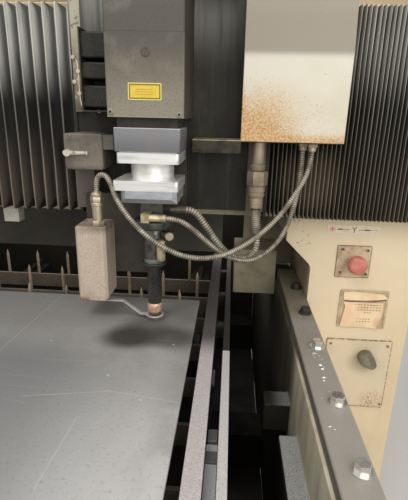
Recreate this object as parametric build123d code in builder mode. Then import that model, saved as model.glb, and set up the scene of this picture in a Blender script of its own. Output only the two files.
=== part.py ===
"""Gantry laser cutting machine with a moving table, a bridge with bellows and a cutting head.

Millimetres, +Z up. X runs along the bridge, Y runs away from the operator, and the origin lies
on the floor, in the middle of the four anchor bolts and straight below the line that the
cutting head follows.
"""

import math
import os

from build123d import *

os.makedirs("parts", exist_ok=True)

# Heights above the floor
SHEET_TOP = 900.0
LEG_TOP = 1107.0
BEAM_HEIGHT = 453.0

# Bed: two side walls along Y, tied by cross members
BED_HALF = 1300.0
WALL_IN = 710.0
WALL_THICK = 60.0
WALL_BOTTOM = 160.0
WALL_TOP = 875.0
LEDGE_WIDTH = 34.0
LEDGE_TOP = 760.0
LEDGE_THICK = 20.0
LEDGE_END = -180.0
BED_BRACKET_IN = 655.0
BED_BRACKET_Y = (-92.0, -44.0)
BED_BRACKET_TALL = 66.0
PAN_THICK = 4.0
PAN_GAP = 0.6
BED_END_THICK = 10.0
CROSS_HEIGHT = 140.0
CROSS_WIDTH = 120.0
CROSS_COUNT = 4
WAY_X = 430.0
WAY_WIDTH = 90.0
WAY_HEIGHT = 260.0
ANCHOR_X = 730.0
END_INSET = 40.0
ANCHOR_HOLE = 18.0
FOOT_SIZE = 180.0
FOOT_THICK = 25.0
FOOT_STEM = 45.0
TRAY_GAP = 20.0
TRAY_TALL = 160.0

# Bars bolted on the side walls
BAR_WIDTH = 55.0
BAR_THICK = 25.0
BAR_FAR_END = 366.0
BAR_BOLT_X = 36.0
BAR_BOLT_Y = (-1143, -993, -843, -693, -543, -401, -262, -89, 65, 215)
BOLT_HEAD = 19.0
BOLT_HEAD_TALL = 12.0
WASHER = 30.0
WASHER_THICK = 3.0
BAR_EDGE = 2.0

# Portal: two legs and the bridge beam
LEG_OUT = 1032.0
LEG_FRONT = 150.0
LEG_DEPTH = 330.0
THROAT_X = 706.0
THROAT_LOW = 988.0
THROAT_HIGH = 1051.0
THROAT_ROUND = 24.0
LEG_ROUND = 8.0
BEAM_HALF = 1240.0
BEAM_SETBACK = 10.0
BEAM_BACK_EDGE = 20.0
DUCT_SIZE = 80.0
DUCT_WALL = 4.0
DUCT_FRONT = 200.0
DUCT_SLOT = 56.0
CURTAIN_THICK = 4.0
CURTAIN_GAP = 15.0
CURTAIN_HALF = 545.0
SIDE_BOX_IN = 584.0
SIDE_BOX_Y = 350.0
SIDE_BOX_Z = (822.0, 960.0)
LIMIT_X = (-4.0, 35.0)
LIMIT_DEPTH = 30.0
LIMIT_DROP = 38.0

# Linear guides of the bridge
RAIL_WIDTH = 23.0
RAIL_HEIGHT = 22.0
RAIL_END_GAP = 10.0
RAIL_Z = (1190.0, 1480.0)
GUIDE_BLOCK_WIDTH = 48.0
GUIDE_BLOCK_LENGTH = 80.0
GUIDE_HEIGHT = 36.0
RUN_GAP = 0.3
BLOCK_INSET = 46.0
BLOCK_LIFT = 4.0
RACK_Z = (1330.0, 1350.0)
RACK_DEPTH = 20.0

# Bellows
BELLOWS_FRONT = 100.0
BELLOWS_BOTTOM = 1115.0
BELLOWS_TOP = 1552.0
BELLOWS_INSET = 40.0
BELLOWS_WALL = 2.0
FOLD_DEPTH = 22.0
LEFT_FOLDS = 53
RIGHT_FOLDS = 58
END_PLATE = 8.0
FLANGE_THICK = 6.0

# Carriage on the bridge, at rest
AXIS_X = 408.0
CARRIAGE_LEFT = 224.0
CARRIAGE_RIGHT = 640.0
CARRIAGE_BOTTOM = 1130.0
CARRIAGE_TOP = 1600.0
CARRIAGE_THICK = 20.0
ARM_ROOT = 20.0
ARM_LIFT = 5.0
STRIP_LEFT_WIDTH = 21.0
STRIP_RIGHT_WIDTH = 40.0
STRIP_THICK = 12.0
STRIP_ROUND = 1.2
CAST_BLOCK_Z = (1224.0, 1296.0)
CAST_BLOCK_FRONT = 10.0
CAST_BLOCK_RIGHT = 304.0
CAST_ROUND = 5.0
CAST_FRONT_ROUND = 3.0
LEVER_Z = 1258.0
LEVER_LENGTH = 50.0
LEVER_DIAMETER = 8.0
EAR_RIGHT = 325.0
EAR_Z = (1266.0, 1294.0)
EAR_FRONT = 14.0
GUARD_Z = (1134.0, 1220.0)
GUARD_FRONT = 66.0
GUARD_WIDTH = 42.0
VALVE_PANEL_X = (262.0, 335.0)
VALVE_PANEL_Z = (1338.0, 1492.0)
VALVE_FRONT = 24.0
VALVE_SINK = 6.0
VALVE_ROUND = 4.0
VALVE_BLOCK_Z = ((1346.0, 1388.0), (1400.0, 1431.0), (1438.0, 1485.0))
SHEET_METAL = 3.0

# Head cover and mirror housing
COVER_WIDTH = 140.0
COVER_FRONT = -66.0
COVER_Z = (1330.0, 1470.0)
COVER_ROUND = 3.0
MIRROR_TOP = 1640.0
BEAM_ARM_SIZE = 50.0
MOTOR_SIZE = 80.0
MOTOR_TALL = 110.0
MOTOR_ROUND = 10.0
MOTOR_DROP = 40.0
TRAVEL_MOTOR_LEFT = 490.0

# Junction box on its shelf
BOX_LEFT = 582.0
BOX_RIGHT = 784.0
BOX_FRONT = 25.0
BOX_BACK = 92.0
BOX_BOTTOM = 1290.0
BOX_FOLD = 1446.0
BOX_TOP = 1610.0
BOX_LEAN = 22.0
LID_THICK = 3.0
LID_LAP = 1.0
LID_ROUND = 1.5
SHELF_THICK = 3.0
SHELF_LEFT = 484.0
SHELF_LIP = 26.0

# Vertical slide with lens stack
LIFT_RAIL_X = 32.0
LIFT_RAIL_WIDTH = 20.0
LIFT_RAIL_HEIGHT = 14.0
LIFT_RAIL_Z = (1150.0, 1470.0)
SLIDE_WIDTH = 124.0
SLIDE_THICK = 20.0
SLIDE_BACK = 82.0
SLIDE_Z = (1130.0, 1380.0)
RUNNER_WIDTH = 40.0
RUNNER_LOW = 40.0
RUNNER_HIGH = 10.0
LENS_FRONT = -58.0
LENS_BLOCK_Z = (1269.0, 1312.0)
LENS_ROUND = 3.0
LENS_TOP_ROUND = 1.5
SLEEVE_Z_TOP = 1385.0
SLEEVE_WALL = 4.0
SLEEVE_INSET = 6.0
UPPER_FLANGE_Z = (1247.0, 1267.0)
FLANGE_INSET = 3.0
FLANGE_ROUND = 5.0
SEAT_INSET = 5.0
NECK_DIAMETER = 85.0
LOWER_FLANGE_Z = (1195.0, 1214.0)
LOWER_FLANGE_X = (340.0, 466.0)
LOWER_BLOCK_Z = (1170.0, 1195.0)
LOWER_BLOCK_WIDTH = 110.0
LOWER_CHAMFER = 10.0

# Torch on the lens stack
TORCH_NECK = 46.0
CAP_Z = (1111.0, 1132.0)
CAP_DIAMETER = 80.0
CAP_ROUND = 7.0
BARREL_DIAMETER = 42.0
BARREL_BOTTOM = 1036.0
LUG_REACH = 23.5
LUG_ROOT = 3.0
LUG_TALL = 14.0
LUG_DROP = 7.0
LUG_Y = (-14.0, 4.0)
THUMB_SIZE = 18.0
THUMB_DEEP = 8.0
THUMB_STEM = 6.0
RING_DIAMETER = 52.0
RING_THICK = 6.0
COLLAR_DIAMETER = 38.0
COLLAR_THICK = 7.0
RING_ROUND = 2.0
TUBE_DIAMETER = 30.0
TUBE_BOTTOM = 941.0
NOZZLE_DIAMETER = 32.0
NOZZLE_SHOULDER = 924.0
NOZZLE_BEVEL = 3.0
NOZZLE_BEVEL_TALL = 5.0
NOZZLE_TIP_GAP = 7.0
NOZZLE_TIP = 7.0
NOZZLE_BORE = 2.0
ELBOW_OUT = 20.0
ELBOW_Y = -31.0
ELBOW_Z = 1070.0
ELBOW_SIZE = 18.0
ELBOW_TALL = 42.0
ELBOW_EDGE = 1.5
ELBOW_ARM = 12.0
ELBOW_ARM_Z = (1064.0, 1078.0)
ELBOW_ARM_END = -8.0

# Height sensor beside the torch
SENSOR_X = (245.0, 310.0)
SENSOR_Y = (-22.0, 50.0)
SENSOR_Z = (946.0, 1112.0)
SENSOR_CHAMFER = 6.0
BRACKET_THICK = 12.0
BRACKET_INSET = 4.0
BRACKET_ROUND = 6.0
BRACKET_BOTTOM = 990.0
BRACKET_RIGHT = 400.0
SENSOR_GLAND_X = 293.0
SENSOR_GLAND_Y = -8.0
GLAND_NECK = 26.0
GLAND_FOOT = 24.0
GLAND_CAP = 15.0
SENSOR_GLAND_TOP = 1184.0
FINGER_THICK = 2.0
FINGER_WIDTH = 9.0
FINGER_GAP = 6.0
FINGER_PIVOT_X = 252.0
FINGER_BEND_X = 338.0
FINGER_RING = 40.0
FINGER_RING_BORE = 31.0
FINGER_RING_Z = 911.0
FINGER_HUB = 8.0
FINGER_LAND = 12.0
PIVOT_DIAMETER = 3.0
SHAFT_FIT = 0.05
PIVOT_EAR = 5.0

# Hoses
THIN_HOSE = 11.0
THICK_HOSE = 15.0
BOX_GLAND_X = 620.0
BOX_GLAND_Y = 48.0
SIGNAL_SOCKET_Z = 1141.0
SIGNAL_SOCKET_Y = -44.0
GAS_FITTING_Z = 1149.0
GAS_FITTING_Y = 8.0
SIGNAL_SOCKET_SIZE = 15.0
SIGNAL_SOCKET_LENGTH = 32.0
SIGNAL_BLOCK = (16.0, 18.0)
SIGNAL_BLOCK_FRONT = 8.0
GAS_NUT = 24.0
GAS_NUT_THICK = 12.0
GAS_SLEEVE = 20.0
GAS_SLEEVE_LENGTH = 33.0
SMALL_GLANDS = ((728.0, 50.0), (713.0, 74.0))
SMALL_GLAND_SIZE = 20.0
SMALL_GLAND_BOTTOM = 1270.0
LARGE_GLAND_BOTTOM = 1150.0
LARGE_GLAND_STEPS = (
    (22.0, 1243.0),
    (28.0, 1229.0),
    (38.0, 1197.0),
    (31.0, 1174.0),
    (28.0, LARGE_GLAND_BOTTOM),
)

# Table
TABLE_Y = (-900.0, 520.0)
TABLE_TOP = 890.0
TABLE_BAR_X = (518.0, 545.0)
TABLE_BAR_TALL = 125.0
TABLE_BEAM_WIDTH = 60.0
TABLE_BEAM_TALL = 100.0
TABLE_CROSS_Y = (-880.0, -420.0, 40.0, 500.0)
TABLE_CROSS_WIDTH = 40.0
STRIP_X = (563.0, 577.0)
STRIP_TALL = 60.0
STRIP_SPLIT_Y = -104.0
STRIP_FAR_DROP = 22.0
STRIP_CLAMP_Y = (-820, -640, -500, -355, 60, 240, 420)
STRIP_CLAMP = 22.0
STRIP_CLAMP_DROP = 4.0
PIN_BAR_TALL = 45.0
PIN_BAR_THICK = 8.0
PIN_BAR_TOP = 810.0
PIN_DIAMETER = 9.0
PIN_TIP = 1.6
PIN_CONE = 16.0
PIN_SIDES = 8
PIN_ROW_Y = 464.0
PIN_ROW_PITCH = 138.0
PIN_ROWS = 10
PIN_PITCH = 103.0
PIN_START = (-487.0, -450.0)
PINS_PER_ROW = 10
SHEET_SIZE = 1000.0
SHEET_THICK = 8.0
SHEET_FAR_EDGE = 107.0
TABLE_BLOCK_LENGTH = 110.0
TABLE_BLOCK_Y = (-780.0, -190.0, 400.0)

# Controls on the right leg
STOP_PLATE_CENTRE = (871.0, 1004.0)
STOP_PLATE_SIZE = 82.0
STOP_X = 873.5
STOP_Z = 1004.0
STOP_HEAD = 45.0
STOP_COLLAR = 34.0
STOP_COLLAR_DEEP = 16.0
STOP_STEM = 20.0
STOP_PRESS = 5.0
STOP_HEAD_DEEP = 15.0
STOP_HEAD_ROUND = 9.0
STOP_MARGIN = 1.0
PLATE_ROUND = 3.0
PANEL_X = (831.0, 998.0)
PANEL_Z = (590.0, 793.0)
PANEL_THICK = 3.0
PANEL_ROUND = 4.0
KNOB_X = 933.0
KNOB_Z = 746.0
KNOB_HUB = 38.0
KNOB_DEEP = 24.0
KNOB_TAIL = 28.0
KNOB_TAIL_WIDTH = 24.0
KNOB_ROUND = 3.0

# Values worked out from the ones above
WALL_OUT = WALL_IN + WALL_THICK
WALL_MID = WALL_IN + WALL_THICK / 2
CROSS_TOP = WALL_BOTTOM + CROSS_HEIGHT
CROSS_REACH = BED_HALF - END_INSET - CROSS_WIDTH / 2
CROSS_PITCH = 2 * CROSS_REACH / (CROSS_COUNT - 1)
ANCHOR_Y = BED_HALF - END_INSET - FOOT_SIZE / 2
WAY_TOP = CROSS_TOP + WAY_HEIGHT
BAR_TOP = WALL_TOP + BAR_THICK
LEG_BACK = LEG_FRONT + LEG_DEPTH
BEAM_FACE = LEG_FRONT + BEAM_SETBACK
CURTAIN_BACK = LEG_BACK - BEAM_BACK_EDGE
BEAM_TOP = LEG_TOP + BEAM_HEIGHT
BELLOWS_END = BEAM_HALF - BELLOWS_INSET
RAIL_HALF = BELLOWS_END - RAIL_END_GAP
CARRIAGE_BACK = BEAM_FACE - GUIDE_HEIGHT
CARRIAGE_FRONT = CARRIAGE_BACK - CARRIAGE_THICK
BELLOWS_BACK = BEAM_FACE - RUN_GAP * 6
NOZZLE_Z = SHEET_TOP + NOZZLE_TIP_GAP
SHEET_BOTTOM = SHEET_TOP - SHEET_THICK
COVER_LEFT = AXIS_X - COVER_WIDTH / 2
COVER_RIGHT = AXIS_X + COVER_WIDTH / 2
SLIDE_FRONT = SLIDE_BACK - SLIDE_THICK
TABLE_BLOCK_TOP = WAY_TOP + GUIDE_HEIGHT
TABLE_BEAM_TOP = TABLE_BLOCK_TOP + TABLE_BEAM_TALL
TABLE_CROSS_TOP = PIN_BAR_TOP - PIN_BAR_TALL
STOP_FACE = LEG_FRONT - PANEL_THICK
STOP_FRONT = STOP_FACE - STOP_COLLAR_DEEP
FINGER_Z = SENSOR_Z[0] - FINGER_GAP
SHELF_BOTTOM = BOX_BOTTOM - SHELF_THICK


def block(x, y, z, mode=Mode.ADD):
    """A box between two values of x, of y and of z, in the part that is being built."""
    middle = ((x[0] + x[1]) / 2, (y[0] + y[1]) / 2, (z[0] + z[1]) / 2)
    with Locations(middle):
        Box(x[1] - x[0], y[1] - y[0], z[1] - z[0], mode=mode)


def keep(piece, name):
    """Labels a finished piece and writes it."""
    piece.part.label = name
    export_step(piece.part, f"parts/{name}.step")


def both_sides(value):
    """The same distance to the left and to the right."""
    return (-value, value)


# Bed walls, each with a ledge, a bracket and a closed box on its inner face
with BuildPart() as bed_walls:
    for sign in (1, -1):
        wall = sorted((sign * WALL_IN, sign * WALL_OUT))
        block(wall, both_sides(BED_HALF), (WALL_BOTTOM, WALL_TOP))
        ledge = sorted((sign * WALL_IN, sign * (WALL_IN - LEDGE_WIDTH)))
        block(ledge, (BED_END_THICK - BED_HALF, LEDGE_END), (LEDGE_TOP - LEDGE_THICK, LEDGE_TOP))
        bracket_x = sorted((sign * BED_BRACKET_IN, sign * WALL_IN))
        block(bracket_x, BED_BRACKET_Y, (LEDGE_TOP - BED_BRACKET_TALL, LEDGE_TOP))
        side_box = sorted((sign * SIDE_BOX_IN, sign * WALL_IN))
        block(side_box, (SIDE_BOX_Y, LEG_BACK), SIDE_BOX_Z)
keep(bed_walls, "bed_walls")

# Pan under the cross members, turned up at both ends of the bed
with BuildPart() as bed_pan:
    pan_width = both_sides(WALL_IN - PAN_GAP)
    block(pan_width, both_sides(BED_HALF), (WALL_BOTTOM - PAN_THICK, WALL_BOTTOM))
    for y in ((-BED_HALF, BED_END_THICK - BED_HALF), (BED_HALF - BED_END_THICK, BED_HALF)):
        block(pan_width, y, (WALL_BOTTOM - PAN_THICK, WALL_TOP))
keep(bed_pan, "bed_pan")

# Cross members that tie the walls, with the two beams that carry the table rails
with BuildPart() as bed_base:
    for index in range(CROSS_COUNT):
        y = index * CROSS_PITCH - CROSS_REACH
        block(
            both_sides(WALL_IN),
            (y - CROSS_WIDTH / 2, y + CROSS_WIDTH / 2),
            (WALL_BOTTOM, CROSS_TOP),
        )
    for x in both_sides(WAY_X):
        block(
            (x - WAY_WIDTH / 2, x + WAY_WIDTH / 2),
            both_sides(BED_HALF - CROSS_WIDTH / 2),
            (CROSS_TOP, WAY_TOP),
        )
keep(bed_base, "bed_base")

with BuildPart() as table_rails:
    for x in both_sides(WAY_X):
        block(
            (x - RAIL_WIDTH / 2, x + RAIL_WIDTH / 2),
            both_sides(BED_HALF - CROSS_WIDTH / 2),
            (WAY_TOP, WAY_TOP + RAIL_HEIGHT),
        )
    chamfer(table_rails.edges().filter_by(Axis.Y).group_by(Axis.Z)[-1], BAR_EDGE)
keep(table_rails, "table_rails")

# Anchored feet under the walls
with BuildPart() as bed_feet:
    for x in both_sides(ANCHOR_X):
        for y in both_sides(ANCHOR_Y):
            block(
                (x - FOOT_SIZE / 2, x + FOOT_SIZE / 2),
                (y - FOOT_SIZE / 2, y + FOOT_SIZE / 2),
                (0, FOOT_THICK),
            )
            stem_x = math.copysign(WALL_MID, x)
            stem_y = y - math.copysign(FOOT_SIZE / 2 - FOOT_STEM, y)
            with Locations((stem_x, stem_y, (FOOT_THICK + WALL_BOTTOM) / 2)):
                Cylinder(FOOT_STEM / 2, WALL_BOTTOM - FOOT_THICK)
            with Locations((x, y, FOOT_THICK / 2)):
                Cylinder(ANCHOR_HOLE / 2, FOOT_THICK, mode=Mode.SUBTRACT)
keep(bed_feet, "bed_feet")

# Slag tray between the table ways
with BuildPart() as slag_tray:
    tray_half = WAY_X - WAY_WIDTH / 2 - TRAY_GAP
    tray_y = BED_HALF - CROSS_WIDTH
    block(both_sides(tray_half), both_sides(tray_y), (CROSS_TOP, CROSS_TOP + TRAY_TALL))
    tray_top = slag_tray.faces().sort_by(Axis.Z)[-1]
    offset(amount=-SHEET_METAL, openings=tray_top)
keep(slag_tray, "slag_tray")

# Bars bolted along the walls, with their bolts
with BuildPart() as guide_bars:
    for sign in (1, -1):
        bar_x = sorted((sign * (WALL_OUT - BAR_WIDTH), sign * WALL_OUT))
        block(bar_x, (-BED_HALF, BAR_FAR_END), (WALL_TOP, BAR_TOP))
    chamfer(guide_bars.edges().filter_by(Axis.Y).group_by(Axis.Z)[-1], BAR_EDGE)
keep(guide_bars, "guide_bars")

with BuildPart() as bar_bolts:
    for sign in (1, -1):
        for y in BAR_BOLT_Y:
            bolt_x = sign * (WALL_OUT - BAR_WIDTH + BAR_BOLT_X)
            with Locations((bolt_x, y, BAR_TOP + WASHER_THICK / 2)):
                Cylinder(WASHER / 2, WASHER_THICK)
            head_plane = Plane.XY.offset(BAR_TOP + WASHER_THICK)
            with BuildSketch(head_plane):
                with Locations((bolt_x, y)):
                    RegularPolygon(BOLT_HEAD / 2, 6, major_radius=False)
            extrude(amount=BOLT_HEAD_TALL)
keep(bar_bolts, "bar_bolts")

# Portal legs, with the rounded throat that widens the leg to the beam
for side, sign in (("right", 1), ("left", -1)):
    with BuildPart() as portal_leg:
        with BuildSketch(Plane.XZ.offset(-LEG_FRONT)) as leg_face:
            with BuildLine():
                Polyline(
                    (sign * WALL_OUT, 0),
                    (sign * LEG_OUT, 0),
                    (sign * LEG_OUT, LEG_TOP),
                    (sign * THROAT_X, LEG_TOP),
                    (sign * THROAT_X, THROAT_HIGH),
                    (sign * WALL_OUT, THROAT_LOW),
                    close=True,
                )
            make_face()
            throat_corner = leg_face.vertices().sort_by_distance((sign * WALL_OUT, THROAT_LOW))[0]
            fillet(throat_corner, THROAT_ROUND)
        extrude(amount=-LEG_DEPTH)
        outer_edges = portal_leg.edges().filter_by(Axis.Z).filter_by_position(
            Axis.X, *sorted((sign * (LEG_OUT - 1), sign * (LEG_OUT + 1)))
        )
        fillet(outer_edges, LEG_ROUND)
    keep(portal_leg, f"portal_leg_{side}")

with BuildPart() as cross_beam:
    block(both_sides(BEAM_HALF), (BEAM_FACE, LEG_BACK), (LEG_TOP, BEAM_TOP))
    chamfer(cross_beam.edges().filter_by(Axis.X).group_by(Axis.Y)[-1], BEAM_BACK_EDGE)
keep(cross_beam, "cross_beam")

with BuildPart() as limit_bracket:
    block(LIMIT_X, (BEAM_FACE, BEAM_FACE + LIMIT_DEPTH), (LEG_TOP - LIMIT_DROP, LEG_TOP))
keep(limit_bracket, "limit_bracket")

# Slotted duct along the beam for the laser light
with BuildPart() as beam_duct:
    duct_y = (DUCT_FRONT, DUCT_FRONT + DUCT_SIZE)
    inner_y = (DUCT_FRONT + DUCT_WALL, DUCT_FRONT + DUCT_SIZE - DUCT_WALL)
    duct_mid = BEAM_TOP + DUCT_SIZE / 2
    block(both_sides(BEAM_HALF), duct_y, (BEAM_TOP, BEAM_TOP + DUCT_SIZE))
    inner_z = (BEAM_TOP + DUCT_WALL, BEAM_TOP + DUCT_SIZE - DUCT_WALL)
    block(both_sides(BEAM_HALF), inner_y, inner_z, Mode.SUBTRACT)
    slot_z = (duct_mid - DUCT_SLOT / 2, duct_mid + DUCT_SLOT / 2)
    block(both_sides(BEAM_HALF), (DUCT_FRONT, inner_y[0]), slot_z, Mode.SUBTRACT)
keep(beam_duct, "beam_duct")

# Rails and rack on the face of the beam
with BuildPart() as bridge_rails:
    for z in RAIL_Z:
        block(
            both_sides(RAIL_HALF),
            (BEAM_FACE - RAIL_HEIGHT, BEAM_FACE),
            (z - RAIL_WIDTH / 2, z + RAIL_WIDTH / 2),
        )
    block(both_sides(RAIL_HALF), (BEAM_FACE - RACK_DEPTH, BEAM_FACE), RACK_Z)
keep(bridge_rails, "bridge_rails")

# Guard curtain under the back of the beam
with BuildPart() as rear_curtain:
    block(
        both_sides(CURTAIN_HALF),
        (CURTAIN_BACK - CURTAIN_THICK, CURTAIN_BACK),
        (SHEET_TOP + CURTAIN_GAP, LEG_TOP),
    )
keep(rear_curtain, "rear_curtain")


def u_outline(inset, wall):
    """Corners (y, z) of a U-shaped band round the front, the bottom and the top of the rails."""
    front = BELLOWS_FRONT + inset
    low = BELLOWS_BOTTOM + inset
    high = BELLOWS_TOP - inset
    return [
        (BELLOWS_BACK, low),
        (front, low),
        (front, high),
        (BELLOWS_BACK, high),
        (BELLOWS_BACK, high - wall),
        (front + wall, high - wall),
        (front + wall, low + wall),
        (BELLOWS_BACK, low + wall),
    ]


def folded_wall(start, end, folds):
    """A bellows along X: one folded wall, open at both ends and at the back."""
    half_fold = (end - start) / (2 * folds)
    rings = []
    for i in range(2 * folds + 1):
        outline = u_outline(i % 2 * FOLD_DEPTH, BELLOWS_WALL)
        rings.append([(start + i * half_fold, y, z) for y, z in outline])
    faces = [Face(Wire.make_polygon(rings[0])), Face(Wire.make_polygon(rings[-1]))]
    for near, far in zip(rings, rings[1:]):
        for j in range(len(near)):
            corners = [near[j - 1], near[j], far[j], far[j - 1]]
            faces.append(Face(Wire.make_polygon(corners)))
    return Solid(Shell(faces))


# Folded bellows from both ends of the bridge to the flanges of the carriage
carriage_flange_left = CARRIAGE_LEFT - FLANGE_THICK
carriage_flange_right = CARRIAGE_RIGHT + FLANGE_THICK
with BuildPart() as bellows_left:
    add(folded_wall(-BELLOWS_END, carriage_flange_left, LEFT_FOLDS))
keep(bellows_left, "bellows_left")

with BuildPart() as bellows_right:
    add(folded_wall(carriage_flange_right, BELLOWS_END, RIGHT_FOLDS))
keep(bellows_right, "bellows_right")

# Plates that hold the outer ends of the bellows
with BuildPart() as bellows_ends:
    for x in ((-BELLOWS_END - END_PLATE, -BELLOWS_END), (BELLOWS_END, BELLOWS_END + END_PLATE)):
        block(x, (BELLOWS_FRONT, BEAM_FACE), (BELLOWS_BOTTOM, BELLOWS_TOP))
keep(bellows_ends, "bellows_end_plates")

# Carriage plate with its bellows flanges and the arm that reaches into the duct
with BuildPart() as carriage_plate:
    block(
        (CARRIAGE_LEFT, CARRIAGE_RIGHT),
        (CARRIAGE_FRONT, CARRIAGE_BACK),
        (CARRIAGE_BOTTOM, CARRIAGE_TOP),
    )
    for x in (carriage_flange_left, CARRIAGE_RIGHT):
        with BuildSketch(Plane.YZ.offset(x)):
            with BuildLine():
                Polyline(*u_outline(0, FOLD_DEPTH + BELLOWS_WALL), close=True)
            make_face()
        extrude(amount=FLANGE_THICK)
    arm_z = (duct_mid - BEAM_ARM_SIZE / 2, duct_mid + BEAM_ARM_SIZE / 2)
    arm_x = (AXIS_X - BEAM_ARM_SIZE / 2, AXIS_X + BEAM_ARM_SIZE / 2)
    block(arm_x, (CARRIAGE_BACK, DUCT_FRONT + DUCT_SIZE / 2), arm_z)
    block(arm_x, (CARRIAGE_BACK, CARRIAGE_BACK + ARM_ROOT), (BEAM_TOP + ARM_LIFT, CARRIAGE_TOP))
keep(carriage_plate, "carriage_plate")

with BuildPart() as guide_blocks:
    groove = RAIL_WIDTH / 2 + RUN_GAP
    rail_face = BEAM_FACE - RAIL_HEIGHT - RUN_GAP
    for x in (CARRIAGE_LEFT + BLOCK_INSET, CARRIAGE_RIGHT - BLOCK_INSET - GUIDE_BLOCK_LENGTH):
        for z in RAIL_Z:
            half = GUIDE_BLOCK_WIDTH / 2
            length = (x, x + GUIDE_BLOCK_LENGTH)
            block(length, (CARRIAGE_BACK, BEAM_FACE - BLOCK_LIFT), (z - half, z + half))
            block(length, (rail_face, BEAM_FACE), (z - groove, z + groove), Mode.SUBTRACT)
keep(guide_blocks, "guide_blocks")

# Strips at both sides of the carriage and the open guard at its lower left
with BuildPart() as carriage_strips:
    strip_y = (CARRIAGE_FRONT - STRIP_THICK, CARRIAGE_FRONT)
    left_x = (CARRIAGE_LEFT, CARRIAGE_LEFT + STRIP_LEFT_WIDTH)
    block(left_x, strip_y, (VALVE_PANEL_Z[0], CARRIAGE_TOP))
    right_x = (CARRIAGE_RIGHT - STRIP_RIGHT_WIDTH, CARRIAGE_RIGHT)
    right_y = (CARRIAGE_FRONT - SHEET_METAL, CARRIAGE_FRONT)
    block(right_x, right_y, (CARRIAGE_BOTTOM, BOX_BOTTOM - SHELF_THICK))
    fillet(carriage_strips.edges().filter_by(Axis.Z), STRIP_ROUND)
    guard_x = (CARRIAGE_LEFT, CARRIAGE_LEFT + GUARD_WIDTH)
    block(guard_x, (GUARD_FRONT, CARRIAGE_FRONT), GUARD_Z)
    hollow_x = (guard_x[0] + SHEET_METAL, guard_x[1] - SHEET_METAL)
    hollow_z = (GUARD_Z[0] - 1, GUARD_Z[1] - SHEET_METAL)
    block(hollow_x, (GUARD_FRONT + SHEET_METAL, CARRIAGE_FRONT), hollow_z, Mode.SUBTRACT)
keep(carriage_strips, "carriage_strips")

# Cast block with its grease pipe and ear, at the lower left of the carriage
with BuildPart() as cast_block:
    block((CARRIAGE_LEFT, CAST_BLOCK_RIGHT), (CAST_BLOCK_FRONT, CARRIAGE_FRONT), CAST_BLOCK_Z)
    fillet(cast_block.edges().filter_by(Axis.Y), CAST_ROUND)
    fillet(cast_block.edges().group_by(Axis.Y)[0], CAST_FRONT_ROUND)
    block((CAST_BLOCK_RIGHT, EAR_RIGHT), (EAR_FRONT, CARRIAGE_FRONT), EAR_Z)
    rod_y = CAST_BLOCK_FRONT - LEVER_DIAMETER / 2
    with BuildSketch(Plane.YZ.offset(CARRIAGE_LEFT)):
        with Locations((rod_y, LEVER_Z)):
            Circle(LEVER_DIAMETER / 2)
    extrude(amount=LEVER_LENGTH)
    with Locations((CARRIAGE_LEFT + LEVER_DIAMETER, rod_y, LEVER_Z)):
        Cylinder(LEVER_DIAMETER - 1, LEVER_DIAMETER + 2, rotation=(90, 0, 0))
keep(cast_block, "cast_block")

# Sheet-metal tray with three valve blocks
with BuildPart() as valve_tray:
    block(VALVE_PANEL_X, (VALVE_FRONT, CARRIAGE_FRONT), VALVE_PANEL_Z)
    tray_hollow_x = (VALVE_PANEL_X[0] + SHEET_METAL, VALVE_PANEL_X[1] + 1)
    tray_hollow_z = (VALVE_PANEL_Z[0] + SHEET_METAL, VALVE_PANEL_Z[1] + 1)
    tray_hollow_y = (VALVE_FRONT - 1, CARRIAGE_FRONT - SHEET_METAL)
    block(tray_hollow_x, tray_hollow_y, tray_hollow_z, Mode.SUBTRACT)
keep(valve_tray, "valve_tray")

with BuildPart() as valve_blocks:
    for z in VALVE_BLOCK_Z:
        block(
            (VALVE_PANEL_X[0] + SHEET_METAL, VALVE_PANEL_X[1] - SHEET_METAL),
            (VALVE_FRONT + VALVE_SINK, CARRIAGE_FRONT - SHEET_METAL),
            z,
        )
    fillet(valve_blocks.edges().filter_by(Axis.X).group_by(Axis.Y)[0], VALVE_ROUND)
keep(valve_blocks, "valve_blocks")

# Folded head cover, open at the back and at the bottom
with BuildPart() as head_cover:
    block((COVER_LEFT, COVER_RIGHT), (COVER_FRONT, CARRIAGE_FRONT), COVER_Z)
    fillet(head_cover.edges().filter_by(Axis.Z).group_by(Axis.Y)[0], COVER_ROUND)
    inner_x = (COVER_LEFT + SHEET_METAL, COVER_RIGHT - SHEET_METAL)
    inner_z = (COVER_Z[0] - 1, COVER_Z[1] + 1)
    block(inner_x, (COVER_FRONT + SHEET_METAL, CARRIAGE_FRONT + 1), inner_z, Mode.SUBTRACT)
keep(head_cover, "head_cover")

# Mirror housing over the cover, and the two motors
with BuildPart() as mirror_housing:
    block((COVER_LEFT, COVER_RIGHT), (COVER_FRONT, CARRIAGE_FRONT), (COVER_Z[1], MIRROR_TOP))
    fillet(mirror_housing.edges().filter_by(Axis.Z).group_by(Axis.Y)[0], COVER_ROUND)
    fillet(mirror_housing.edges().group_by(Axis.Z)[-1], COVER_ROUND)
keep(mirror_housing, "mirror_housing")

with BuildPart() as drive_motors:
    motor_z = MIRROR_TOP + MOTOR_TALL / 2
    with Locations((AXIS_X, (COVER_FRONT + CARRIAGE_FRONT) / 2, motor_z)):
        Box(MOTOR_SIZE, MOTOR_SIZE, MOTOR_TALL)
    travel_y = (CARRIAGE_FRONT - MOTOR_SIZE, CARRIAGE_FRONT)
    travel_x = (TRAVEL_MOTOR_LEFT, TRAVEL_MOTOR_LEFT + MOTOR_SIZE)
    block(travel_x, travel_y, (CARRIAGE_TOP - MOTOR_DROP, CARRIAGE_TOP + MOTOR_TALL))
    fillet(drive_motors.edges().filter_by(Axis.Z), MOTOR_ROUND)
keep(drive_motors, "drive_motors")

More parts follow.
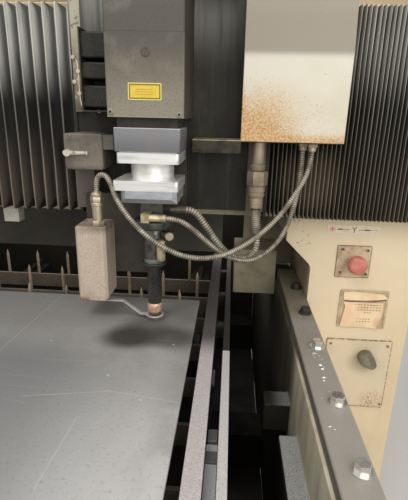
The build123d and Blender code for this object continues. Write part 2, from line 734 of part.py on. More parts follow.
# Junction box: folded body, front lid and the shelf that carries it
with BuildPart() as junction_box:
    lid_back = BOX_FRONT + LID_THICK
    with BuildSketch(Plane.YZ.offset(BOX_LEFT)):
        with BuildLine():
            Polyline(
                (lid_back, BOX_BOTTOM),
                (BOX_BACK, BOX_BOTTOM),
                (BOX_BACK, BOX_TOP),
                (lid_back + BOX_LEAN, BOX_TOP),
                (lid_back, BOX_FOLD),
                close=True,
            )
        make_face()
    extrude(amount=BOX_RIGHT - BOX_LEFT)
keep(junction_box, "junction_box")

with BuildPart() as box_lid:
    with BuildSketch(Plane.YZ.offset(BOX_LEFT - LID_LAP)):
        with BuildLine():
            Polyline(
                (BOX_FRONT, BOX_BOTTOM - LID_LAP),
                (lid_back, BOX_BOTTOM - LID_LAP),
                (lid_back, BOX_FOLD),
                (lid_back + BOX_LEAN, BOX_TOP),
                (BOX_FRONT + BOX_LEAN, BOX_TOP),
                (BOX_FRONT, BOX_FOLD),
                close=True,
            )
        make_face()
    extrude(amount=BOX_RIGHT - BOX_LEFT + 2 * LID_LAP)
    fillet(box_lid.edges().filter_by(Axis.Z).group_by(Axis.Y)[0], LID_ROUND)
keep(box_lid, "junction_box_lid")

with BuildPart() as box_shelf:
    shelf_y = (BOX_FRONT + LID_THICK, CARRIAGE_FRONT)
    shelf_z = (BOX_BOTTOM - SHELF_THICK, BOX_BOTTOM)
    block((SHELF_LEFT, CARRIAGE_RIGHT), shelf_y, shelf_z)
    block((CARRIAGE_RIGHT, BOX_RIGHT), (shelf_y[0], BOX_BACK), shelf_z)
    lip_y = (shelf_y[0], shelf_y[0] + SHELF_THICK)
    block((SHELF_LEFT, BOX_LEFT), lip_y, (BOX_BOTTOM - SHELF_LIP, BOX_BOTTOM))
keep(box_shelf, "box_shelf")

# Glands under the shelf, one large and two small
with BuildPart() as box_glands:
    step_top = SHELF_BOTTOM
    for size, bottom in LARGE_GLAND_STEPS:
        with Locations((BOX_GLAND_X, BOX_GLAND_Y, (step_top + bottom) / 2)):
            Cylinder(size / 2, step_top - bottom)
        step_top = bottom
    for x, y in SMALL_GLANDS:
        with Locations((x, y, (SHELF_BOTTOM + SMALL_GLAND_BOTTOM) / 2)):
            Cylinder(SMALL_GLAND_SIZE / 2, SHELF_BOTTOM - SMALL_GLAND_BOTTOM)
keep(box_glands, "box_glands")

# Rails of the vertical slide, on the carriage plate
with BuildPart() as lift_rails:
    for x in (AXIS_X - LIFT_RAIL_X, AXIS_X + LIFT_RAIL_X):
        block(
            (x - LIFT_RAIL_WIDTH / 2, x + LIFT_RAIL_WIDTH / 2),
            (CARRIAGE_FRONT - LIFT_RAIL_HEIGHT, CARRIAGE_FRONT),
            LIFT_RAIL_Z,
        )
keep(lift_rails, "lift_rails")

# Slide plate with the runners that hold the rails
with BuildPart() as slide_plate:
    slide_x = (AXIS_X - SLIDE_WIDTH / 2, AXIS_X + SLIDE_WIDTH / 2)
    block(slide_x, (SLIDE_FRONT, SLIDE_BACK), SLIDE_Z)
    for x in (AXIS_X - LIFT_RAIL_X, AXIS_X + LIFT_RAIL_X):
        runner_x = (x - RUNNER_WIDTH / 2, x + RUNNER_WIDTH / 2)
        runner_z = (SLIDE_Z[0] + RUNNER_LOW, SLIDE_Z[1] - RUNNER_HIGH)
        block(runner_x, (SLIDE_BACK, CARRIAGE_FRONT - BLOCK_LIFT), runner_z)
        slot_x = (x - LIFT_RAIL_WIDTH / 2 - RUN_GAP, x + LIFT_RAIL_WIDTH / 2 + RUN_GAP)
        slot_y = (CARRIAGE_FRONT - LIFT_RAIL_HEIGHT - RUN_GAP, CARRIAGE_FRONT)
        block(slot_x, slot_y, SLIDE_Z, Mode.SUBTRACT)
keep(slide_plate, "slide_plate")

# Lens block and the dark sleeve that telescopes into the cover
with BuildPart() as lens_block:
    block(slide_x, (LENS_FRONT, SLIDE_FRONT), LENS_BLOCK_Z)
    fillet(lens_block.edges().filter_by(Axis.Z).group_by(Axis.Y)[0], LENS_ROUND)
    fillet(lens_block.edges().group_by(Axis.Y)[0].group_by(Axis.Z)[-1], LENS_TOP_ROUND)
keep(lens_block, "lens_block")

with BuildPart() as sleeve:
    sleeve_x = (slide_x[0] + SLEEVE_INSET, slide_x[1] - SLEEVE_INSET)
    sleeve_y = (LENS_FRONT + SLEEVE_INSET, SLIDE_FRONT)
    block(sleeve_x, sleeve_y, (LENS_BLOCK_Z[1], SLEEVE_Z_TOP))
    offset(amount=-SLEEVE_WALL, openings=sleeve.faces().sort_by(Axis.Z)[-1])
keep(sleeve, "head_sleeve")

with BuildPart() as lens_flanges:
    flange_x = (slide_x[0] + FLANGE_INSET, slide_x[1] - FLANGE_INSET)
    flange_y = (LENS_FRONT + FLANGE_INSET, SLIDE_FRONT)
    block(flange_x, flange_y, UPPER_FLANGE_Z)
    block(LOWER_FLANGE_X, flange_y, LOWER_FLANGE_Z)
    fillet(lens_flanges.edges().filter_by(Axis.Z).group_by(Axis.Y)[0], FLANGE_ROUND)
    with Locations((AXIS_X, 0, (LOWER_FLANGE_Z[1] + UPPER_FLANGE_Z[0]) / 2)):
        Cylinder(NECK_DIAMETER / 2, UPPER_FLANGE_Z[0] - LOWER_FLANGE_Z[1])
    block(
        (flange_x[0] + SEAT_INSET, flange_x[1] - SEAT_INSET),
        (flange_y[0] + SEAT_INSET, flange_y[1]),
        (UPPER_FLANGE_Z[1], LENS_BLOCK_Z[0]),
    )
keep(lens_flanges, "lens_holder")

with BuildPart() as lower_block:
    lower_half = LOWER_BLOCK_WIDTH / 2
    block((AXIS_X - lower_half, AXIS_X + lower_half), (-lower_half, SLIDE_FRONT), LOWER_BLOCK_Z)
    chamfer(lower_block.edges().filter_by(Axis.Z).group_by(Axis.Y)[0], LOWER_CHAMFER)
    chamfer(lower_block.faces().sort_by(Axis.Z)[0].edges().group_by(Axis.Y)[0], LOWER_CHAMFER)
keep(lower_block, "lower_block")

# Torch: neck, cap, barrel, ringed tube and nozzle on one axis
with BuildPart() as torch_cap:
    neck_half = TORCH_NECK / 2
    neck_z = (CAP_Z[1], LOWER_BLOCK_Z[0])
    block((AXIS_X - neck_half, AXIS_X + neck_half), both_sides(neck_half), neck_z)
    with Locations((AXIS_X, 0, sum(CAP_Z) / 2)):
        Cylinder(CAP_DIAMETER / 2, CAP_Z[1] - CAP_Z[0])
    rim = torch_cap.edges().filter_by(GeomType.CIRCLE).group_by(SortBy.RADIUS)[-1]
    fillet(rim, CAP_ROUND)
keep(torch_cap, "torch_cap")

with BuildPart() as torch_barrel:
    with Locations((AXIS_X, 0, (CAP_Z[0] + BARREL_BOTTOM) / 2)):
        Cylinder(BARREL_DIAMETER / 2, CAP_Z[0] - BARREL_BOTTOM)
    barrel_side = AXIS_X + BARREL_DIAMETER / 2
    lug_top = CAP_Z[0] - LUG_DROP
    block((barrel_side - LUG_ROOT, barrel_side + LUG_REACH), LUG_Y, (lug_top - LUG_TALL, lug_top))
    thumb_x = barrel_side + LUG_REACH - THUMB_SIZE / 2
    thumb_z = lug_top - LUG_TALL / 2
    with Locations((thumb_x, sum(LUG_Y) / 2, thumb_z)):
        stem_hole = THUMB_STEM / 2 + SHAFT_FIT
        Cylinder(stem_hole, LUG_Y[1] - LUG_Y[0], rotation=(90, 0, 0), mode=Mode.SUBTRACT)
keep(torch_barrel, "torch_barrel")

with BuildPart() as torch_tube:
    ring_bottom = BARREL_BOTTOM - RING_THICK
    tube_top = ring_bottom - COLLAR_THICK
    turned = (
        (RING_DIAMETER, BARREL_BOTTOM, ring_bottom),
        (COLLAR_DIAMETER, ring_bottom, tube_top),
        (TUBE_DIAMETER, tube_top, TUBE_BOTTOM),
    )
    for diameter, top, bottom in turned:
        with Locations((AXIS_X, 0, (top + bottom) / 2)):
            Cylinder(diameter / 2, top - bottom)
    fillet(torch_tube.edges().filter_by(GeomType.CIRCLE).group_by(SortBy.RADIUS)[-1], RING_ROUND)
keep(torch_tube, "torch_tube")

with BuildPart() as nozzle:
    with BuildSketch(Plane.XZ):
        with BuildLine():
            Polyline(
                (AXIS_X + NOZZLE_BORE / 2, NOZZLE_Z),
                (AXIS_X + NOZZLE_TIP / 2, NOZZLE_Z),
                (AXIS_X + NOZZLE_DIAMETER / 2 - NOZZLE_BEVEL, NOZZLE_SHOULDER - NOZZLE_BEVEL_TALL),
                (AXIS_X + NOZZLE_DIAMETER / 2, NOZZLE_SHOULDER),
                (AXIS_X + NOZZLE_DIAMETER / 2, TUBE_BOTTOM),
                (AXIS_X + NOZZLE_BORE / 2, TUBE_BOTTOM),
                close=True,
            )
        make_face()
    revolve(axis=Axis((AXIS_X, 0, 0), (0, 0, 1)))
keep(nozzle, "nozzle")

# Knurled screw on the lug of the barrel
with BuildPart() as thumb_screw:
    with BuildSketch(Plane.XZ.offset(-LUG_Y[1])):
        with Locations((thumb_x, thumb_z)):
            Circle(THUMB_STEM / 2)
    extrude(amount=LUG_Y[1] - LUG_Y[0] + RUN_GAP)
    with BuildSketch(Plane.XZ.offset(RUN_GAP - LUG_Y[0])):
        with Locations((thumb_x, thumb_z)):
            Circle(THUMB_SIZE / 2)
    extrude(amount=THUMB_DEEP)
    chamfer(thumb_screw.faces().sort_by(Axis.Y)[0].edges(), 1)
keep(thumb_screw, "thumb_screw")

# Height sensor: bracket, box, gland and finger
with BuildPart() as sensor_bracket:
    bracket_y = (SLIDE_FRONT - BRACKET_THICK, SLIDE_FRONT)
    bracket_x = (SENSOR_X[0] + BRACKET_INSET, BRACKET_RIGHT)
    block(bracket_x, bracket_y, (BRACKET_BOTTOM, LOWER_BLOCK_Z[0]))
    fillet(sensor_bracket.edges().filter_by(Axis.Y), BRACKET_ROUND)
keep(sensor_bracket, "sensor_bracket")

with BuildPart() as sensor_box:
    block(SENSOR_X, SENSOR_Y, SENSOR_Z)
    chamfer(sensor_box.edges().filter_by(Axis.Z).group_by(Axis.Y)[0], SENSOR_CHAMFER)
    right_low = sensor_box.edges().filter_by(Axis.Y).group_by(Axis.Z)[0].sort_by(Axis.X)[-1]
    chamfer(right_low, SENSOR_CHAMFER)
    left_high = sensor_box.edges().filter_by(Axis.Y).group_by(Axis.Z)[-1].sort_by(Axis.X)[0]
    chamfer(left_high, SENSOR_CHAMFER / 2)
    ear_y = FINGER_WIDTH / 2 + RUN_GAP
    for y in ((-ear_y - PIVOT_EAR, -ear_y), (ear_y, ear_y + PIVOT_EAR)):
        ear_x = (FINGER_PIVOT_X - PIVOT_EAR, FINGER_PIVOT_X + PIVOT_EAR)
        block(ear_x, y, (FINGER_Z - PIVOT_EAR, SENSOR_Z[0]))
    with Locations((FINGER_PIVOT_X, 0, FINGER_Z)):
        Cylinder(PIVOT_DIAMETER / 2, 2 * ear_y, rotation=(90, 0, 0))
keep(sensor_box, "sensor_box")

with BuildPart() as sensor_gland:
    with BuildSketch(Plane.XZ.offset(-SENSOR_GLAND_Y)):
        with BuildLine():
            Polyline(
                (SENSOR_GLAND_X, SENSOR_Z[1]),
                (SENSOR_GLAND_X + GLAND_FOOT / 2, SENSOR_Z[1]),
                (SENSOR_GLAND_X + GLAND_FOOT / 2, SENSOR_Z[1] + GLAND_FOOT),
                (SENSOR_GLAND_X + GLAND_NECK / 2, SENSOR_GLAND_TOP - GLAND_CAP),
                (SENSOR_GLAND_X + GLAND_NECK / 2, SENSOR_GLAND_TOP),
                (SENSOR_GLAND_X, SENSOR_GLAND_TOP),
                close=True,
            )
        make_face()
    revolve(axis=Axis((SENSOR_GLAND_X, SENSOR_GLAND_Y, 0), (0, 0, 1)))
keep(sensor_gland, "sensor_gland")

with BuildPart() as finger:
    ring_left = AXIS_X - FINGER_RING / 2
    with BuildSketch(Plane.XZ.offset(FINGER_WIDTH / 2)):
        with BuildLine() as finger_line:
            Polyline(
                (FINGER_PIVOT_X + PIVOT_DIAMETER, FINGER_Z),
                (FINGER_BEND_X, FINGER_Z),
                (ring_left - FINGER_LAND, FINGER_RING_Z),
                (ring_left + (FINGER_RING - FINGER_RING_BORE) / 2 - RUN_GAP, FINGER_RING_Z),
            )
            offset(amount=FINGER_THICK / 2, side=Side.BOTH)
        make_face()
    extrude(amount=-FINGER_WIDTH)
    with Locations((FINGER_PIVOT_X, 0, FINGER_Z)):
        Cylinder(FINGER_HUB / 2, FINGER_WIDTH, rotation=(90, 0, 0))
        hole = PIVOT_DIAMETER / 2 + SHAFT_FIT
        Cylinder(hole, FINGER_WIDTH, rotation=(90, 0, 0), mode=Mode.SUBTRACT)
    with Locations((AXIS_X, 0, FINGER_RING_Z)):
        Cylinder(FINGER_RING / 2, FINGER_THICK)
        Cylinder(FINGER_RING_BORE / 2, FINGER_THICK * 2, mode=Mode.SUBTRACT)
keep(finger, "sensor_finger")

# Fittings on the torch: the gas elbow at its front right, and the sockets of two hoses
with BuildPart() as torch_fittings:
    elbow_x = AXIS_X + ELBOW_OUT
    with Locations((elbow_x, ELBOW_Y, ELBOW_Z)):
        Cylinder(ELBOW_SIZE / 2, ELBOW_TALL)
    chamfer(torch_fittings.edges().filter_by(GeomType.CIRCLE), ELBOW_EDGE)
    arm_width = (elbow_x - ELBOW_ARM / 2, elbow_x + ELBOW_ARM / 2)
    block(arm_width, (ELBOW_Y, ELBOW_ARM_END), ELBOW_ARM_Z)
    with Locations((AXIS_X, 0, sum(ELBOW_ARM_Z) / 2)):
        Cylinder(BARREL_DIAMETER / 2, ELBOW_TALL, mode=Mode.SUBTRACT)
    socket_y = (SIGNAL_SOCKET_Y - SIGNAL_BLOCK_FRONT, -neck_half)
    socket_half = SIGNAL_BLOCK[1] / 2
    socket_z = (SIGNAL_SOCKET_Z - socket_half, SIGNAL_SOCKET_Z + socket_half)
    block((AXIS_X - SIGNAL_BLOCK[0], AXIS_X), socket_y, socket_z)
    with BuildSketch(Plane.YZ.offset(AXIS_X)):
        with Locations((SIGNAL_SOCKET_Y, SIGNAL_SOCKET_Z)):
            Circle(SIGNAL_SOCKET_SIZE / 2)
    extrude(amount=SIGNAL_SOCKET_LENGTH)
    with BuildSketch(Plane.YZ.offset(AXIS_X + neck_half)):
        with Locations((GAS_FITTING_Y, GAS_FITTING_Z)):
            RegularPolygon(GAS_NUT / 2, 6)
    extrude(amount=GAS_NUT_THICK)
    with BuildSketch(Plane.YZ.offset(AXIS_X + neck_half + GAS_NUT_THICK)):
        with Locations((GAS_FITTING_Y, GAS_FITTING_Z)):
            Circle(GAS_SLEEVE / 2)
    extrude(amount=GAS_SLEEVE_LENGTH)
keep(torch_fittings, "torch_fittings")


def hose_radii(points):
    """The largest arc that fits each corner of a hose route."""
    radii = []
    for before, here, after in zip(points, points[1:], points[2:]):
        first = Vector(*here) - Vector(*before)
        second = Vector(*after) - Vector(*here)
        turn = math.radians(first.get_angle(second))
        shorter = min(first.length, second.length)
        radii.append(0.45 * shorter / math.tan(turn / 2))
    return radii


def hose(points, diameter, name):
    """A plain tube of the hose's diameter along its route."""
    radii = hose_radii(points)
    with BuildPart() as tube:
        with BuildLine():
            route = FilletPolyline(*points, radius=radii)
        with BuildSketch(Plane(origin=route @ 0, z_dir=route % 0)):
            Circle(diameter / 2)
        sweep()
    expected = math.pi * diameter**2 / 4 * route.length
    print(name, "length", round(route.length), "volume", round(tube.part.volume / expected, 4))
    print("  radii", [round(r) for r in radii])
    keep(tube, name)


hose(
    [
        (SENSOR_GLAND_X, SENSOR_GLAND_Y, SENSOR_GLAND_TOP),
        (SENSOR_GLAND_X, SENSOR_GLAND_Y, 1202),
        (299, -11, 1217),
        (315, -17, 1220),
        (329, -28, 1204),
        (344, -48, 1175),
        (380, -64, 1132),
        (426, -67, 1094),
        (480, -58, 1066),
        (540, -33, 1058),
        (600, -2, 1078),
        (660, 24, 1124),
        (702, 40, 1184),
        (*SMALL_GLANDS[0], 1234),
        (*SMALL_GLANDS[0], SMALL_GLAND_BOTTOM),
    ],
    THIN_HOSE,
    "sensor_hose",
)

hose(
    [
        (AXIS_X + SIGNAL_SOCKET_LENGTH, SIGNAL_SOCKET_Y, SIGNAL_SOCKET_Z),
        (464, SIGNAL_SOCKET_Y, SIGNAL_SOCKET_Z),
        (492, -35, 1121),
        (528, -20, 1083),
        (568, -4, 1050),
        (614, 13, 1039),
        (657, 31, 1060),
        (689, 48, 1104),
        (706, 63, 1162),
        (*SMALL_GLANDS[1], 1220),
        (*SMALL_GLANDS[1], SMALL_GLAND_BOTTOM),
    ],
    THIN_HOSE,
    "signal_hose",
)

hose(
    [
        (AXIS_X + neck_half + GAS_NUT_THICK + GAS_SLEEVE_LENGTH, GAS_FITTING_Y, GAS_FITTING_Z),
        (492, GAS_FITTING_Y, GAS_FITTING_Z),
        (516, 10, 1116),
        (544, 14, 1074),
        (572, 20, 1052),
        (604, 31, 1047),
        (630, 42, 1066),
        (632, 47, 1096),
        (BOX_GLAND_X, BOX_GLAND_Y, 1122),
        (BOX_GLAND_X, BOX_GLAND_Y, LARGE_GLAND_BOTTOM),
    ],
    THICK_HOSE,
    "gas_hose",
)

# Table frame: side bars, cross members and the beams that sit on the bearing blocks
with BuildPart() as table_frame:
    for sign in (1, -1):
        bar = sorted(sign * x for x in TABLE_BAR_X)
        block(bar, TABLE_Y, (TABLE_TOP - TABLE_BAR_TALL, TABLE_TOP))
        beam_x = sorted((sign * WAY_X - TABLE_BEAM_WIDTH / 2, sign * WAY_X + TABLE_BEAM_WIDTH / 2))
        block(beam_x, TABLE_Y, (TABLE_BLOCK_TOP, TABLE_BEAM_TOP))
    for y in TABLE_CROSS_Y:
        block(
            both_sides(TABLE_BAR_X[1]),
            (y - TABLE_CROSS_WIDTH / 2, y + TABLE_CROSS_WIDTH / 2),
            (TABLE_BEAM_TOP, TABLE_CROSS_TOP),
        )
keep(table_frame, "table_frame")

# Bars with the pointed pins that carry the sheet
with BuildPart() as pin_bars:
    for row in range(PIN_ROWS):
        y = PIN_ROW_Y - row * PIN_ROW_PITCH
        block(
            both_sides(TABLE_BAR_X[0]),
            (y - PIN_BAR_THICK / 2, y + PIN_BAR_THICK / 2),
            (PIN_BAR_TOP - PIN_BAR_TALL, PIN_BAR_TOP),
        )
keep(pin_bars, "pin_bars")

with BuildPart() as pin:
    with BuildSketch(Plane.XY.offset(PIN_BAR_TOP)):
        RegularPolygon(PIN_DIAMETER / 2, PIN_SIDES)
    extrude(amount=SHEET_BOTTOM - PIN_CONE - PIN_BAR_TOP)
    taper = math.degrees(math.atan((PIN_DIAMETER - PIN_TIP) / 2 / PIN_CONE))
    extrude(pin.faces().sort_by(Axis.Z)[-1], amount=PIN_CONE, taper=taper)

with BuildPart() as support_pins:
    pin_places = []
    for row in range(PIN_ROWS):
        for i in range(PINS_PER_ROW):
            pin_x = PIN_START[row % 2] + i * PIN_PITCH
            pin_places.append((pin_x, PIN_ROW_Y - row * PIN_ROW_PITCH, 0))
    with Locations(*pin_places):
        add(pin.part)
keep(support_pins, "support_pins")

with BuildPart() as sheet:
    block(
        both_sides(SHEET_SIZE / 2),
        (SHEET_FAR_EDGE - SHEET_SIZE, SHEET_FAR_EDGE),
        (SHEET_BOTTOM, SHEET_TOP),
    )
keep(sheet, "work_sheet")

# Strips beside the table, held off it by clamps
with BuildPart() as side_strips:
    for sign in (1, -1):
        strip = sorted(sign * x for x in STRIP_X)
        far_top = TABLE_TOP - STRIP_FAR_DROP
        block(strip, (TABLE_Y[0], STRIP_SPLIT_Y), (TABLE_TOP - STRIP_TALL, TABLE_TOP))
        block(strip, (STRIP_SPLIT_Y, TABLE_Y[1]), (TABLE_TOP - STRIP_TALL, far_top))
        gap_x = sorted((sign * TABLE_BAR_X[1], sign * STRIP_X[0]))
        for y in STRIP_CLAMP_Y:
            block(
                gap_x,
                (y - STRIP_CLAMP / 2, y + STRIP_CLAMP / 2),
                (TABLE_TOP - STRIP_TALL, far_top - STRIP_CLAMP_DROP),
            )
keep(side_strips, "side_strips")

with BuildPart() as table_blocks:
    for x in both_sides(WAY_X):
        for y in TABLE_BLOCK_Y:
            half = GUIDE_BLOCK_WIDTH / 2
            length = (y - TABLE_BLOCK_LENGTH / 2, y + TABLE_BLOCK_LENGTH / 2)
            block((x - half, x + half), length, (WAY_TOP + BLOCK_LIFT, TABLE_BLOCK_TOP))
            rail_top = WAY_TOP + RAIL_HEIGHT + RUN_GAP
            block((x - groove, x + groove), length, (WAY_TOP, rail_top), Mode.SUBTRACT)
keep(table_blocks, "table_blocks")

# Controls on the right leg
with BuildPart() as stop_plate:
    half = STOP_PLATE_SIZE / 2
    block(
        (STOP_PLATE_CENTRE[0] - half, STOP_PLATE_CENTRE[0] + half),
        (STOP_FACE, LEG_FRONT),
        (STOP_PLATE_CENTRE[1] - half, STOP_PLATE_CENTRE[1] + half),
    )
    fillet(stop_plate.edges().filter_by(Axis.Y), PLATE_ROUND)
    with BuildSketch(Plane.XZ.offset(-STOP_FACE)):
        with Locations((STOP_X, STOP_Z)):
            Circle(STOP_COLLAR / 2)
    extrude(amount=STOP_COLLAR_DEEP)
    with BuildSketch(Plane.XZ.offset(-STOP_FACE + STOP_COLLAR_DEEP)):
        with Locations((STOP_X, STOP_Z)):
            Circle(STOP_STEM / 2 + SHAFT_FIT)
    extrude(amount=-STOP_COLLAR_DEEP + RUN_GAP, mode=Mode.SUBTRACT)
keep(stop_plate, "stop_plate")

with BuildPart() as stop_button:
    head_back = STOP_FRONT - STOP_PRESS - STOP_MARGIN
    stem_back = STOP_FACE - STOP_PRESS - STOP_MARGIN
    with BuildSketch(Plane.XZ.offset(-stem_back)):
        with Locations((STOP_X, STOP_Z)):
            Circle(STOP_STEM / 2)
    extrude(amount=stem_back - head_back)
    with BuildSketch(Plane.XZ.offset(-head_back)):
        with Locations((STOP_X, STOP_Z)):
            Circle(STOP_HEAD / 2)
    extrude(amount=STOP_HEAD_DEEP)
    front_rim = stop_button.edges().filter_by(GeomType.CIRCLE).sort_by(Axis.Y)[0]
    fillet(front_rim, STOP_HEAD_ROUND)
keep(stop_button, "stop_button")

with BuildPart() as panel:
    block(PANEL_X, (STOP_FACE, LEG_FRONT), PANEL_Z)
    fillet(panel.edges().filter_by(Axis.Y), PANEL_ROUND)
keep(panel, "switch_panel")

with BuildPart() as knob:
    with BuildSketch(Plane.XZ.offset(-STOP_FACE + RUN_GAP)) as knob_face:
        with Locations((KNOB_X, KNOB_Z)):
            Circle(KNOB_HUB / 2)
        with Locations((KNOB_X + KNOB_TAIL / 2, KNOB_Z - KNOB_TAIL / 2)):
            Circle(KNOB_TAIL_WIDTH / 2)
        make_hull()
    extrude(amount=KNOB_DEEP)
    fillet(knob.edges().group_by(Axis.Y)[0], KNOB_ROUND)
keep(knob, "rotary_knob")
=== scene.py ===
import math

import bmesh
import bpy
from mathutils import Matrix, Vector, noise


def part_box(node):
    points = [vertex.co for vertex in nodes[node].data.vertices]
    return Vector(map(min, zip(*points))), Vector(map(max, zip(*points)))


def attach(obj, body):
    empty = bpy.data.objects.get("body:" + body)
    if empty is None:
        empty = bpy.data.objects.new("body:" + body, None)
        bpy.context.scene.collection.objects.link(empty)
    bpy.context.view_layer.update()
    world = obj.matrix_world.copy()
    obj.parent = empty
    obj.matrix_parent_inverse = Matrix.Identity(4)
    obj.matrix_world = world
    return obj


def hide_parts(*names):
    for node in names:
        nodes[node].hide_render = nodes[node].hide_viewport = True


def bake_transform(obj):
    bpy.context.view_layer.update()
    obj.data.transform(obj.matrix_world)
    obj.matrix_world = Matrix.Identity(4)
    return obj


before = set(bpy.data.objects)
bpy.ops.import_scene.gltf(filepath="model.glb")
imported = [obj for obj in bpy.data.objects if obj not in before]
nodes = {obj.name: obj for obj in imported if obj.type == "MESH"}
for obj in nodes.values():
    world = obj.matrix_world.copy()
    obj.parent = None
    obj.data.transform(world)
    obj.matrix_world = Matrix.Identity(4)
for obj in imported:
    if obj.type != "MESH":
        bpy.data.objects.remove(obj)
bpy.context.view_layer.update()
print("frame:", len(nodes), "nodes")


# Finishes

def screen(red, green, blue):  # a colour as a screen shows it, in linear light
    parts = []
    for shade in (red, green, blue):
        part = shade / 255
        parts.append(part / 12.92 if part < 0.0405 else ((part + 0.055) / 1.055) ** 2.4)
    return (*parts, 1.0)


def darker(colour, share):
    return (*(share * part for part in screen(*colour)[:3]), 1.0)


class Value:  # a number that changes over a surface; its operators add Math nodes
    def __init__(self, finish, socket):
        self.finish = finish
        self.socket = socket

    def maths(self, operation, first, second=0.0):
        return self.finish.node("ShaderNodeMath", {"operation": operation}, {0: first, 1: second})

    def __add__(self, other):
        return self.maths("ADD", self, other)

    __radd__ = __add__

    def __mul__(self, other):
        return self.maths("MULTIPLY", self, other)

    __rmul__ = __mul__

    def __sub__(self, other):
        return self.maths("SUBTRACT", self, other)

    def __rsub__(self, other):
        return self.maths("SUBTRACT", other, self)

    def __abs__(self):
        return self.maths("ABSOLUTE", self)

    def smaller(self, other):
        return self.maths("MINIMUM", self, other)

    def rise(self, low, high):  # 0 up to low, 1 from high, smooth in between
        settings = {"interpolation_type": "SMOOTHSTEP"}
        return self.finish.node("ShaderNodeMapRange", settings, {0: self, 1: low, 2: high})

    def fall(self, low, high):
        return 1 - self.rise(low, high)

    def band(self, low, high, soft):  # 1 between low and high
        return self.rise(low - soft, low) * self.fall(high, high + soft)


class Sockets:  # makes the nodes of one tree
    def __init__(self, tree):
        self.tree = tree

    def node(self, kind, settings=None, sockets=None, out=0):
        made = self.tree.nodes.new(kind)
        for key, value in (settings or {}).items():
            setattr(made, key, value)
        for key, value in (sockets or {}).items():
            if isinstance(value, Value):
                self.tree.links.new(value.socket, made.inputs[key])
            else:
                made.inputs[key].default_value = value
        return Value(self, made.outputs[out])


class Finish(Sockets):
    def __init__(self, name, **fixed):
        self.material = bpy.data.materials.new(name)
        self.material.use_nodes = True
        super().__init__(self.material.node_tree)
        self.shader = self.tree.nodes["Principled BSDF"]
        for socket, value in fixed.items():
            self.shader.inputs[socket.replace("_", " ")].default_value = value
        self.place = self.node("ShaderNodeTexCoord", out="Object")
        parts = self.node("ShaderNodeSeparateXYZ", sockets={0: self.place})
        self.x, self.y, self.z = (
            Value(self, parts.socket.node.outputs[axis]) for axis in ("X", "Y", "Z")
        )

    def shifted(self, stretch, shift):
        sockets = {0: self.place, 1: stretch, 2: (shift, shift * 0.7, shift * 1.3)}
        return self.node("ShaderNodeVectorMath", {"operation": "MULTIPLY_ADD"}, sockets)

    def cloud(self, scale, detail=3.0, stretch=(1, 1, 1), shift=0.0, rough=0.55):
        sockets = {"Vector": self.shifted(stretch, shift), "Scale": scale, "Detail": detail, "Roughness": rough}
        return self.node("ShaderNodeTexNoise", sockets=sockets)

    def spots(self, scale, size, stretch=(1, 1, 1), shift=0.0):  # 1 in small round spots
        sockets = {"Vector": self.shifted(stretch, shift), "Scale": scale}
        return 1 - self.node("ShaderNodeTexVoronoi", sockets=sockets).rise(size * 0.6, size)

    def mix(self, first, second, share):  # screen colours are turned to linear light here
        sockets = {0: share}
        for key, tint in ((6, first), (7, second)):
            sockets[key] = screen(*tint) if isinstance(tint, tuple) and len(tint) == 3 else tint
        return self.node("ShaderNodeMix", {"data_type": "RGBA"}, sockets, out=2)

    def base(self, first, second, share):
        self.colour = self.mix(first, second, share)

    def over(self, tint, share):
        self.colour = self.mix(self.colour, tint, share)

    def layer(self, tint, share, limits, *cloud, **kind):  # a tint in clouds that start and fill at the limits
        self.over(tint, self.cloud(*cloud, **kind).rise(*limits) * share)

    def ball(self, centre, reach, soft=0.4):  # 1 inside an ellipsoid
        sockets = {0: self.place, 1: centre}
        offset = self.node("ShaderNodeVectorMath", {"operation": "SUBTRACT"}, sockets)
        sockets = {0: offset, 1: tuple(1 / part for part in reach)}
        scaled = self.node("ShaderNodeVectorMath", {"operation": "MULTIPLY"}, sockets)
        away = self.node("ShaderNodeVectorMath", {"operation": "LENGTH"}, {0: scaled}, out="Value")
        return 1 - away.rise(1 - soft, 1 + soft)

    def stroke(self, start, end, width, flat="xy"):  # 1 on a thin straight scratch
        length = math.dist(start, end)
        across = [(end[0] - start[0]) / length, (end[1] - start[1]) / length]
        first, second = getattr(self, flat[0]) - start[0], getattr(self, flat[1]) - start[1]
        along = first * across[0] + second * across[1]
        aside = abs(second * across[0] - first * across[1])
        return aside.fall(width * 0.4, width) * along.band(0, length, 0.012)

    def bump(self, height, depth, strength=1.0):
        sockets = {"Height": height, "Distance": depth, "Strength": strength}
        self.tree.links.new(
            self.node("ShaderNodeBump", sockets=sockets).socket, self.shader.inputs["Normal"]
        )

    def done(self, roughness):
        self.tree.links.new(self.colour.socket, self.shader.inputs["Base Color"])
        self.tree.links.new(roughness.socket, self.shader.inputs["Roughness"])
        return self.material


def enamel(name, paint, dirt, grime, streak, rust=0.0):
    f = Finish(name)
    broad = f.cloud(3.2, 4, shift=2.0)
    smear = f.cloud(9, 4, stretch=(1, 1, 0.22), shift=5.0)
    f.base(paint, darker(paint, 0.88), f.cloud(14, 3).rise(0.4, 0.7) * 0.6)
    dirty = (broad.rise(0.42, 0.72) * grime + smear.rise(0.5, 0.72) * streak).smaller(0.92)
    f.over(dirt, dirty)
    flecks = f.spots(95, 0.3) * f.cloud(20, 2, shift=9.0).rise(0.5, 0.62)
    f.over((70, 58, 46), flecks * 0.35)
    if rust:
        eaten = f.cloud(26, 5, shift=14.0).rise(0.6 - 0.12 * rust, 0.72 - 0.08 * rust)
        f.over((128, 84, 52), eaten * 0.8)
    f.bump(f.cloud(210, 2) * 0.5 + f.cloud(26, 4) * 0.5 - flecks * 0.4, 0.0006, 0.5)
    return f.done(0.42 + dirty * 0.3 + f.cloud(50, 2) * 0.12)


